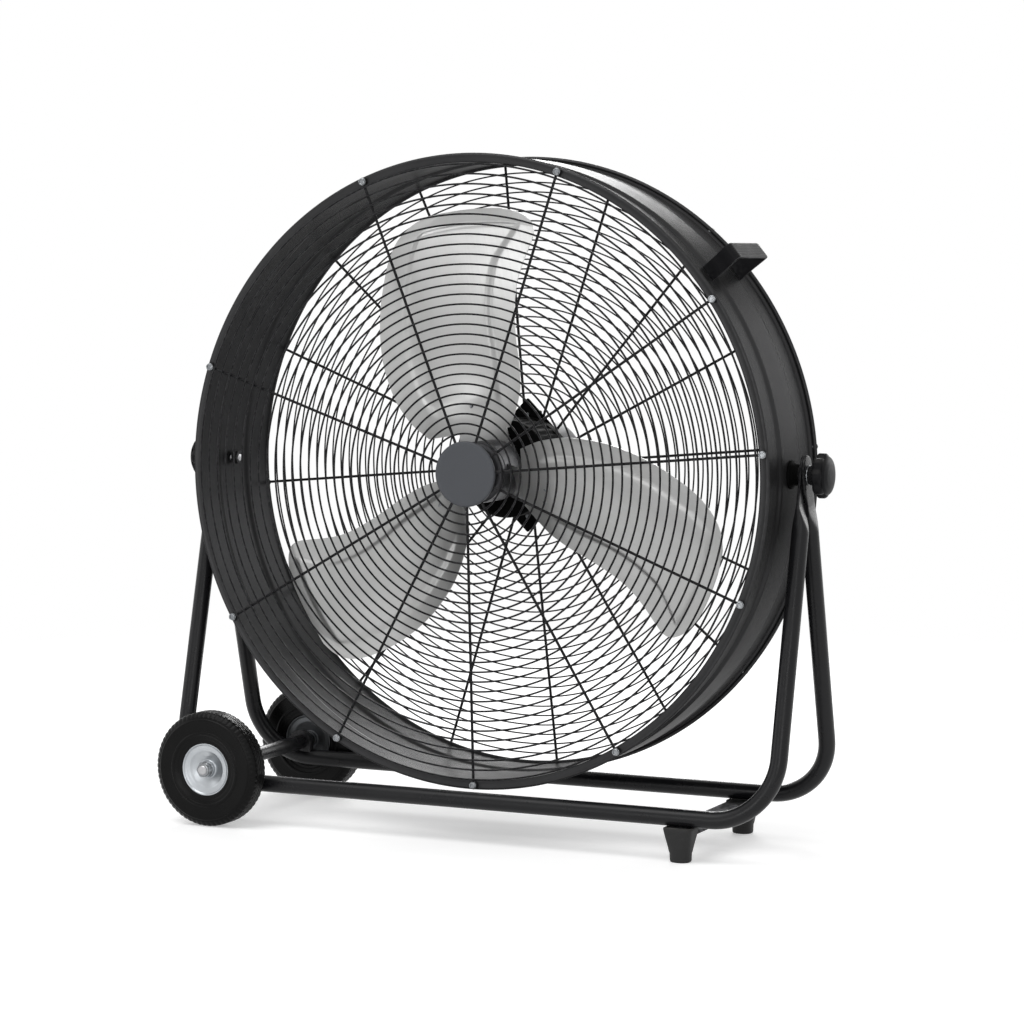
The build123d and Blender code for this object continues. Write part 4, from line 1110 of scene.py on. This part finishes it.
@dataclass
class Handle(Assembly):
    """The strap handle with ribs along its outer face."""

    degrees: float = 39.5
    top: float = 447.6
    foot_y: float = 47.0
    half_length: float = 51.5
    thickness: float = 4.6
    width: float = 22.0
    ribs: int = 7

    def strap(self) -> Surface:
        """The strap: a rectangle carried over two feet and a grip with ribs on its outside.

        Returns:
            The strap about the origin, along +X.
        """
        bend = self.top - 22
        corners = [(402.6, -self.foot_y, 0), (bend, -self.foot_y, 0),
                   (self.top, -self.half_length, 0), (self.top, self.half_length, 0),
                   (bend, self.foot_y, 0), (402.6, self.foot_y, 0)]
        path = eased(corners, 6.5, 8, False)
        path = path[np.r_[True, np.linalg.norm(np.diff(path, axis=0), axis=1) > 0.01]]
        across = np.linspace(-0.5, 0.5, 57) * (self.width - 2)
        ripple = 0.16 * np.cos(TAU * self.ribs * across / (self.width - 2))
        inner = eased([(1.7, 11.0), (-2.3, 11.0), (-2.3, -11.0), (1.7, -11.0)], 1.2, 3, False)
        on_grip = smooth(self.top - 2, self.top, path[:, 0])
        outlines = [
            np.vstack([np.stack([self.thickness / 2 - 0.16 + ripple * share, across], -1), inner])
            for share in on_grip]
        return sweep(path, np.stack(outlines), (0, 0, 1))

    def build(self) -> None:
        """Builds the strap and its two screws."""
        strap = self.strap().turned(self.degrees)
        self.add("strap_handle", strap, BLACK_PLASTIC, "handle", sharp=40)
        dome = lathe([(0, 397.3), (2.2, 397.4), (3.5, 398.1), (4.0, 399.2), (4.0, 400.3),
                      (0, 400.3)], 40, "x", closed=False)
        shank = lathe([(0, 400), (1.5, 400), (1.5, 421), (0, 422)], 20, "x", closed=False)
        pair = joined([(dome + shank).moved((0, y, 0)) for y in (self.foot_y, -self.foot_y)])
        self.add("handle_pan_screws", pair.turned(self.degrees), ZINC, "handle_screws")


@dataclass
class TiltKnob(Assembly):
    """A scalloped clamping knob with a domed face, and its stud."""

    place = PIVOT
    name: str
    left: bool
    body: Body = Body.LEFT_KNOB
    lobes: int = 8
    scallop: float = 3.4
    base: float = 430.1

    def grip(self) -> Surface:
        """The knob: turned, its rim drawn in between eight lobes, its neck finely ribbed.

        Returns:
            The right-hand knob about the X axis.
        """
        b = self.base

        def lobed(radius: Array, angle: Array, along: Array) -> Array:
            """Args: radius, angle, along: see lathe. Returns: the new radius."""
            hollow = (0.5 - 0.5 * np.cos(self.lobes * angle)) ** 1.6
            rim = smooth(15, 27, radius) * (along < b + 23.2)
            ribs = 0.45 * (comb(angle, 28) < 0.2)
            neck = (radius > 12) & (along > b + 0.6) & (along < b + 7.6)
            return radius - self.scallop * hollow * rim - ribs * neck

        return turned([
            (0, b), (12.4, b), (12.4, b + 7.4), (14.0, b + 9.0), (25.4, b + 9.6),
            (28.4, b + 12.0), (28.4, b + 20.0), (26.4, b + 22.6), (24.6, b + 23.0),
            (24.2, b + 23.6), (22.4, b + 25.6), (15.0, b + 27.9), (7.5, b + 28.8), (0, b + 29.0)],
            1.6, 4, 224, "x", False, lobed)

    def stud(self) -> Surface:
        """The stud: a bar whose radius ripples with its thread.

        Returns:
            The right-hand stud about the X axis.
        """
        low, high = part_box("right_tilt_stud")
        place = np.arange(low[0] / MM + 1, high[0] / MM - 0.5, 0.5)
        radius = 4.8 + 0.2 * np.cos(place * TAU / 1.5)
        line = [(0, place[0] - 1)] + list(zip(radius, place)) + [(0, place[-1] + 0.4)]
        return lathe(line, 32, "x", closed=False)

    def build(self) -> None:
        """Builds knob and stud."""
        for piece, surface, finish, node in (
                ("knob", self.grip(), BLACK_PLASTIC, "tilt_knob"),
                ("stud", self.stud(), BARE_STEEL, "tilt_stud")):
            surface = surface.mirrored(0) if self.left else surface
            self.add(f"{self.name}_{piece}", surface, finish, f"{self.name}_{node}")


@dataclass
class Motor(Assembly):
    """Motor shell, plate, clamps, rear cover, gland and speed knob."""

    radius: float = 65.0
    front: float = 8.0
    back: float = 87.3
    cover_radius: float = 62.0
    cover_start: float = 90.7
    cover_end: float = 145.7

    def shell(self) -> Surface:
        """The motor's shell: turned, with 40 shallow grooves along its side.

        Returns:
            The shell about the Y axis.
        """
        r, f, b = self.radius, self.front, self.back

        def grooves(radius: Array, angle: Array, along: Array) -> Array:
            """Args: radius, angle, along: see lathe. Returns: the new radius."""
            slot = smooth(0.3, 0.6, comb(angle, 40) * 2)
            zone = (radius > r - 1) * smooth(f + 14, f + 16, along)
            return radius - 1.4 * slot * zone * (1 - smooth(b - 15, b - 13, along))

        return turned([
            (9.6, f), (20, f), (22, f + 1.2), (26, f + 1.2), (28, f), (r - 8, f), (r, f + 8),
            (r, f + 14), (r - 0.1, f + 15), (r - 0.1, b - 14), (r, b - 13), (r, b), (r - 3, b),
            (r - 3, f + 8), (9.6, f + 3)], 2.0, 4, 320, wave=grooves)

    def plate(self) -> Surface:
        """The square plate on its corner about the Y axis, with small rounded corners."""
        outline = eased([(90, 0), (0, 90), (-90, 0), (0, -90)], 2.5, 5)
        return prism(outline, 87.5, 90.5)

    def cover(self) -> Surface:
        """The rear cover about the Y axis: a deep turned cup with a bead and a raised face."""
        r, s, e = self.cover_radius, self.cover_start, self.cover_end
        return turned([
            (r - 3, s), (r, s), (r, s + 4), (r - 0.8, s + 5), (r - 0.8, e - 9), (r - 6.5, e - 1.2),
            (30, e - 1.2), (27, e), (4.3, e), (4.3, e - 3), (r - 9, e - 4), (r - 3, e - 10)], 1.6)

    def gland(self) -> Surface:
        """The strain relief: turned about Z, ringed below its shoulder, with a bore.

        Returns:
            The gland, hanging under the cover.
        """
        start = -self.cover_radius - 0.2
        rings = [(9 - 1.1 * (index % 2), start - 2.5 - 1.7 * index) for index in range(8)]
        line = [(4.2, start + 8), (6.9, start + 8), (6.9, start), (9, start), *rings,
                (7.2, start - 16), (4.2, start - 16)]
        return turned(line, 0.5, 3, 64, "z").moved((0, middle("cord_gland")[1], 0))

    def speed_knob(self) -> Surface:
        """The speed knob: a ribbed skirt with a tapered ridge across it.

        Returns:
            The knob about the Y axis.
        """
        s = self.cover_end + 0.2

        def ribs(radius: Array, angle: Array, along: Array) -> Array:
            """Args: radius, angle, along: see lathe. Returns: the new radius."""
            return radius - 0.6 * (comb(angle, 30) < 0.2) * (radius > 15) * (along > s + 0.5)

        skirt = turned([
            (0, s - 3), (4, s - 3), (4, s), (16.6, s), (17, s + 1.2), (16.2, s + 6),
            (14.5, s + 7), (0, s + 7.2)], 0.8, 3, 180, closed=False, wave=ribs)
        levels = [(s + 5, 30, 7.4), (s + 10.8, 29, 6), (s + 11.6, 28, 5), (s + 11.9, 26, 3.6)]
        ridge = np.stack([
            np.insert(box_outline(wide, high, 2.0), 1, y, axis=1) for y, wide, high in levels])
        return skirt + grid(ridge)

    def build(self) -> None:
        """Builds everything round the motor."""
        self.add("motor_housing", self.shell(), MOTOR_PAINT, "motor_shell")
        self.add("motor_mount_plate", self.plate(), MOTOR_PAINT, "motor_plate", bevel=0.5)
        bar = prism(box_outline(10, 34, 2.5), 94.5, 97.0)
        screw = (ring(2.4, 5.4, 97.1, 97.9, edge=0.2, sides=40) + hex_head(8, 97.9, 100.7, 0)
                 + lathe([(0, 86.5), (2.4, 86.5), (2.4, 98), (0, 98)], 16, closed=False))
        for name, surface, finish, node in (
                ("clamp_bars", bar, MOTOR_PAINT, "spoke_clamps"),
                ("clamp_bolts", screw, ZINC, "clamp_screws")):
            four = joined([surface.moved((68, 0, 0)).turned(angle) for angle in (0, 90, 180, 270)])
            self.add(name, four, finish, node)
        self.add("motor_cover", self.cover(), COVER_PAINT, "rear_cover", look="cover_paint")
        self.add("strain_relief", self.gland(), BLACK_PLASTIC, "cord_gland")
        self.add("speed_dial_knob", self.speed_knob(), BLACK_PLASTIC, "speed_knob",
                 Body.SPEED_DIAL, sharp=40)


# --- impeller
@dataclass
class Impeller(Assembly):
    """Three pressed paddles riveted to a cast hub.

    lead, trail and front_line hold (reach, across) points of a blade: its two edges and the
    front border of its pressed panel.
    """

    body = Body.IMPELLER
    first: float = 100.0
    tip: float = 340.0
    thickness: float = 1.6
    plane: float = -30.0
    pitch: float = 70.0
    pitch_offset: float = 30.0
    camber: float = 8.0
    camber_width: float = 117.5
    lead: Sequence[tuple[float, float]] = (
        (52, 28), (74, 40), (96, 49.5), (112, 53.5), (134, 57), (160, 59), (188, 62.5),
        (212, 67), (236, 75), (258, 87), (278, 100), (293, 108.5), (305, 109), (316, 101.5),
        (325.5, 88), (332.9, 69))
    trail: Sequence[tuple[float, float]] = (
        (52, 54), (74, 73), (96, 86), (112, 93), (134, 99), (160, 103.5), (188, 104.5),
        (212, 103), (236, 99.5), (258, 94), (278, 88), (295, 81), (312, 70.5), (324, 58.5),
        (333, 44), (338.9, 27))
    front_line: Sequence[tuple[float, float]] = (
        (50, -22), (106, -25), (142, -29), (179, -30), (210, -33), (239, -40), (267, -51),
        (286, -68), (304, -87), (320, -104))

    def rear_y(self, reach: Array, across: Array) -> Array:
        """The blade's rear face: plane - slope * across - camber * (across / width)^2."""
        slope = self.pitch / (reach + self.pitch_offset)
        return self.plane - slope * across - self.camber * (across / self.camber_width) ** 2

    def plan(self, rows: int = 150, columns: int = 100) -> tuple[Array, Array]:
        """The blade's outline as a grid between its leading and trailing edges.

        reach = line between the edges + u * (round tip - its chord); u runs from root to tip.

        Args:
            rows: rows from root to tip.
            columns: columns from edge to edge.
        Returns:
            reach and across, each rows x columns.
        """
        lead, trail = curve_through(self.lead, rows), curve_through(self.trail, rows)
        v = (0.5 - 0.5 * np.cos(np.linspace(0, math.pi, columns)))[None, :]
        across = -lead[:, 1:] * (1 - v) + trail[:, 1:] * v
        line = lead[:, :1] * (1 - v) + trail[:, :1] * v
        arc = np.sqrt(self.tip**2 - across**2)
        chord = arc[:, :1] * (1 - v) + arc[:, -1:] * v
        share = smooth(0.35, 1.0, np.linspace(0, 1, rows))[:, None]
        return line + share * (arc - chord), across

    def paddle(self) -> Surface:
        """One blade: both faces of the sheet, with a pressed panel inside a plain border.

        The panel stands 3 mm forward, 30 mm inside the trailing edge, 20 mm inside the tip
        and, at the front, behind a line that bends outwards two thirds of the way out. Outside
        it the border leans back 0.14 towards the tip and forward 0.09 towards the trailing edge.

        Returns:
            The blade along +X about the Y axis.
        """
        reach, across = self.plan()
        bend = curve_through(self.front_line, 200)
        front_line = np.interp(reach, bend[:, 0], bend[:, 1])
        trailing = across[:, -1:] - across - 30
        tip = self.tip - 20 - np.hypot(reach, across)
        raised = 3.0 * smooth(70, 100, reach) * (
            smooth(-4, 4, across - front_line) * smooth(-5, 5, trailing) * smooth(-5, 5, tip))
        lean = 0.14 * np.clip(-tip, 0, None)
        lean -= 0.09 * np.clip(-trailing, 0, None) * smooth(96, 170, reach)
        rear = self.rear_y(reach, across) - raised + lean
        back = np.stack([reach, rear, across], -1)
        front = back - (0, self.thickness, 0)
        return grid(np.concatenate([front, back[:, ::-1]], 1))

    def arm(self) -> Surface:
        """One arm of the hub: a slab that follows the blade's back.

        Returns:
            The arm along +X about the Y axis.
        """
        reach = np.linspace(20, 96, 16)[:, None]
        half = 24 - 3.5 * smooth(84, 96, reach)
        v = np.linspace(-1, 1, 13)[None, :]
        across = half * v
        reach = np.repeat(reach, 13, 1)
        front = self.rear_y(reach, across) + 0.1
        edge = 1.1 * np.abs(v) ** 8
        points = [np.stack([reach, front + edge * 0.2, across], -1),
                  np.stack([reach, front + 4.1 - edge, across], -1)[:, ::-1]]
        return grid(np.concatenate(points, 1))

    def rivets(self) -> Surface:
        """Two domed rivets through blade and arm, leaning with the blade.

        Returns:
            The rivets along +X about the Y axis.
        """
        line = [(0, -2.9), (2.2, -2.75), (3.6, -2.2), (4.1, -1.6), (4.1, -1.4), (4.1, 4.0),
                (3.6, 5.0), (2.2, 5.5), (0, 5.7)]
        rivet = lathe(line, 32, closed=False)
        lean = math.degrees(math.atan(self.pitch / (87 + self.pitch_offset)))
        return joined([
            rivet.turned(-lean, "x").moved((87, float(self.rear_y(87.0, z)), z))
            for z in (9.0, -9.0)])

    def hub(self) -> Surface:
        """The hub about the Y axis: turned, with a bevelled face and a shallow groove."""
        return turned([
            (7.6, -74), (9.5, -76), (36, -76), (40, -72), (40, -66), (39.2, -65.4),
            (39.2, -63.6), (40, -63), (40, -13), (37.5, -10), (7.6, -10)], 1.0)

    def build(self) -> None:
        """Builds blades, hub, rivets and shaft."""
        angles = [self.first + 120 * index for index in range(3)]
        for index, angle in enumerate(angles, 1):
            self.add(f"paddle_{index}", self.paddle().turned(angle), BLADE_METAL,
                     f"blade_{index}", sharp=50, flat=self.unrolled(angle))
        arms, rivets = (joined([part.turned(angle) for angle in angles])
                        for part in (self.arm(), self.rivets()))
        # The hub casting's dark colour is painted shade; the arms keep the lighter aluminium
        # colour.
        self.add("hub_casting", self.hub(), SHADED_CAST_METAL, "blade_hub", sharp=40)
        self.add("hub_arms", arms, ARM_METAL, sharp=40, look="arm_aluminium")
        self.add("domed_rivets", rivets, ZINC, "blade_rivets")
        start, end = (corner[1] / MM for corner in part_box("rotor_shaft"))
        shaft = turned([
            (0, start), (6.6, start), (7.5, start + 1), (7.5, 23.7), (37.4, 23.7),
            (37.4, 71.7), (7.5, 71.7), (7.5, end), (0, end)], 0.6, 3, 72, closed=False)
        self.add("shaft", shaft, BARE_STEEL, "rotor_shaft")

    def unrolled(self, angle: float) -> Callable[[Array], Array]:
        """Where a blade's points lie along and across it, for the rolling marks.

        Args:
            angle: where the blade stands round the hub, in degrees.
        Returns:
            A function from points to (across, along) in millimetres.
        """
        turn = math.radians(angle)

        def flat(points: Array) -> Array:
            """Args: points: n x 3 in millimetres. Returns: n x 2."""
            x, z = points[:, 0] - AXIS[0], points[:, 2] - AXIS[2]
            along = x * math.cos(turn) + z * math.sin(turn)
            across = -x * math.sin(turn) + z * math.cos(turn)
            return np.stack([along, across], -1)

        return flat


# --- studio
@dataclass
class Studio:
    """Pale floor, white background, soft lights and the photograph's camera."""

    lens: float = 108.70
    place: tuple[float, float, float] = (1.7337, -3.6433, 0.7526)
    turn: tuple[float, float, float] = (math.pi / 2 - 0.0825, 0.0, 0.44)
    ambient: float = 0.55
    floor_glow: float = 0.36
    target: tuple[float, float, float] = (0.0, 0.0, 0.4)
    lamps: Sequence[tuple] = (
        ("front", (-0.5, -3.5, 0.55), 1.2, 11.0),
        ("root", (1.9, -3.2, 1.1), 0.8, 8.0),
        ("left", (-2.8, -1.6, 1.0), 1.0, 3.0),
        ("key", (-0.6, -1.4, 3.2), 2.4, 40.0),
        ("back_left", (-0.9, 2.8, 1.5), 1.5, 52.0),
        ("back_right", (1.4, 2.8, 1.2), 1.6, 19.0),
    )

    def seen(self, graph: Graph) -> Socket:
        """1 for the rays that show the background: camera, glossy and transmission rays."""
        rays = graph.put("LightPath").outputs
        either = graph.math("MAXIMUM", rays["Is Camera Ray"], rays["Is Glossy Ray"])
        return graph.math("MAXIMUM", either, rays["Is Transmission Ray"])

    def blank(self, owner: bpy.types.World | bpy.types.Material) -> Graph:
        """Empties the node tree of a world or a material.

        Args:
            owner: the world or the material.
        Returns:
            The graph of its tree.
        """
        owner.use_nodes = True
        owner.node_tree.nodes.clear()
        return Graph(owner.node_tree)

    def world(self) -> None:
        """A white world for the rays that show it and a plain one for the rest."""
        world = bpy.data.worlds.new("studio")
        graph = self.blank(world)
        plain, white = (graph.put("Background", Color=WHITE, Strength=strength).outputs[0]
                        for strength in (self.ambient, 1.0))
        mixed = graph.put("MixShader", i0=self.seen(graph), i1=plain, i2=white)
        graph.put("OutputWorld", Surface=mixed.outputs[0])
        bpy.context.scene.world = world

    def floor(self) -> None:
        """A pale floor that fades into the white background away from the fan."""
        turn = np.linspace(0, TAU, 64, endpoint=False)[None, :]
        radius = np.array([0.0, 0.5, 1.2, 2.5, 5.0])[:, None]
        surface = grid(on_axis("z", np.zeros((5, 64)), radius * np.cos(turn),
                               radius * np.sin(turn)))
        mesh = bpy.data.meshes.new("floor")
        mesh.from_pydata(surface.points.tolist(), [], surface.quads.tolist())
        material = bpy.data.materials.new("pale_floor")
        graph = self.blank(material)
        place = graph.put("TexCoord").outputs["Object"]
        faded = graph.spread(graph.vector("LENGTH", place), 0.9, 2.2)
        tone = graph.mix(graph.noise(place, 3.0, 4.0), (0.86, 0.86, 0.86), (0.88, 0.88, 0.88))
        matt = graph.put("BsdfDiffuse", Color=tone).outputs[0]
        glow = graph.put("Emission", Color=WHITE,
                         Strength=graph.math("MULTIPLY", self.seen(graph), self.floor_glow))
        lit = graph.put("AddShader", i0=matt, i1=glow.outputs[0]).outputs[0]
        clear = graph.put("BsdfTransparent").outputs[0]
        mixed = graph.put("MixShader", i0=faded, i1=lit, i2=clear)
        graph.put("OutputMaterial", Surface=mixed.outputs[0])
        mesh.materials.append(material)
        floor = new_object("floor", mesh)

    def build(self) -> None:
        """Sets up world, floor, lamps, camera and view."""
        self.world()
        self.floor()
        for name, place, size, power in self.lamps:
            data = bpy.data.lights.new(name, "AREA")
            data.shape, data.size, data.energy = "DISK", size, power
            toward = np.array(self.target) - np.array(place)
            lamp = new_object(name, data)
            lamp.location = place
            lamp.rotation_euler = (math.acos(-toward[2] / np.linalg.norm(toward)), 0.0,
                                   math.atan2(-toward[0], toward[1]))
            lamp.visible_camera = False
        lens = bpy.data.cameras.new("camera")
        lens.lens, lens.sensor_width = self.lens, 36.0
        camera = new_object("camera", lens)
        camera.location, camera.rotation_euler = self.place, self.turn
        bpy.context.scene.camera = camera
        bpy.context.scene.view_settings.view_transform = "Standard"


def dress_kept_nodes() -> None:
    """Gives every CAD node the finish of its slot, without brushed marks: it has no flat map."""
    for entry in frame["record"]["subparts"]:
        node = frame["nodes"][entry["node"]]
        finish = SLOTS[entry["material_slot"]]
        look = None
        if finish.marks is Marks.BRUSHED:
            finish, look = replace(finish, marks=Marks.NONE), "plain_" + finish.slot
        material = finish.material(look)
        if not node.data.materials:
            node.data.materials.append(material)
        for index in range(len(node.data.materials)):
            node.data.materials[index] = material


FRONT_ANGLES = (5.0, 34.0, 72.0, 112.0, 161.0, 210.0, 241.5, 271.0, 301.0, 338.0)
REAR_ANGLES = (5.0, 28.0, 50.0, 72.0, 95.0, 114.0, 137.0, 158.0,
               185.0, 207.0, 230.0, 253.0, 276.0, 302.0, 320.0, 338.0)


def main() -> None:
    """Builds the fan, class by class, then the studio."""
    logging.basicConfig(level=logging.INFO, format="%(message)s")
    build_groups()
    dress_kept_nodes()
    TubeFrame().build()
    Wheel("front", -1).build()
    Wheel("rear", 1, Body.REAR_WHEEL).build()
    Drum().build()
    Pivots().build()
    WireGuard("front", -1, 52.0, 28, FRONT_ANGLES, 36.2, 5.0, FRONT_ANGLES, 1.3).build()
    WireGuard("rear", 1, 96.0, 24, REAR_ANGLES, 63.0, 0.0, REAR_ANGLES[::2], 1.05).build()
    Badge().build()
    Handle().build()
    TiltKnob("left", True).build()
    TiltKnob("right", False, Body.RIGHT_KNOB).build()
    Motor().build()
    Impeller().build()
    Studio().build()


if __name__ == "__main__":
    main()
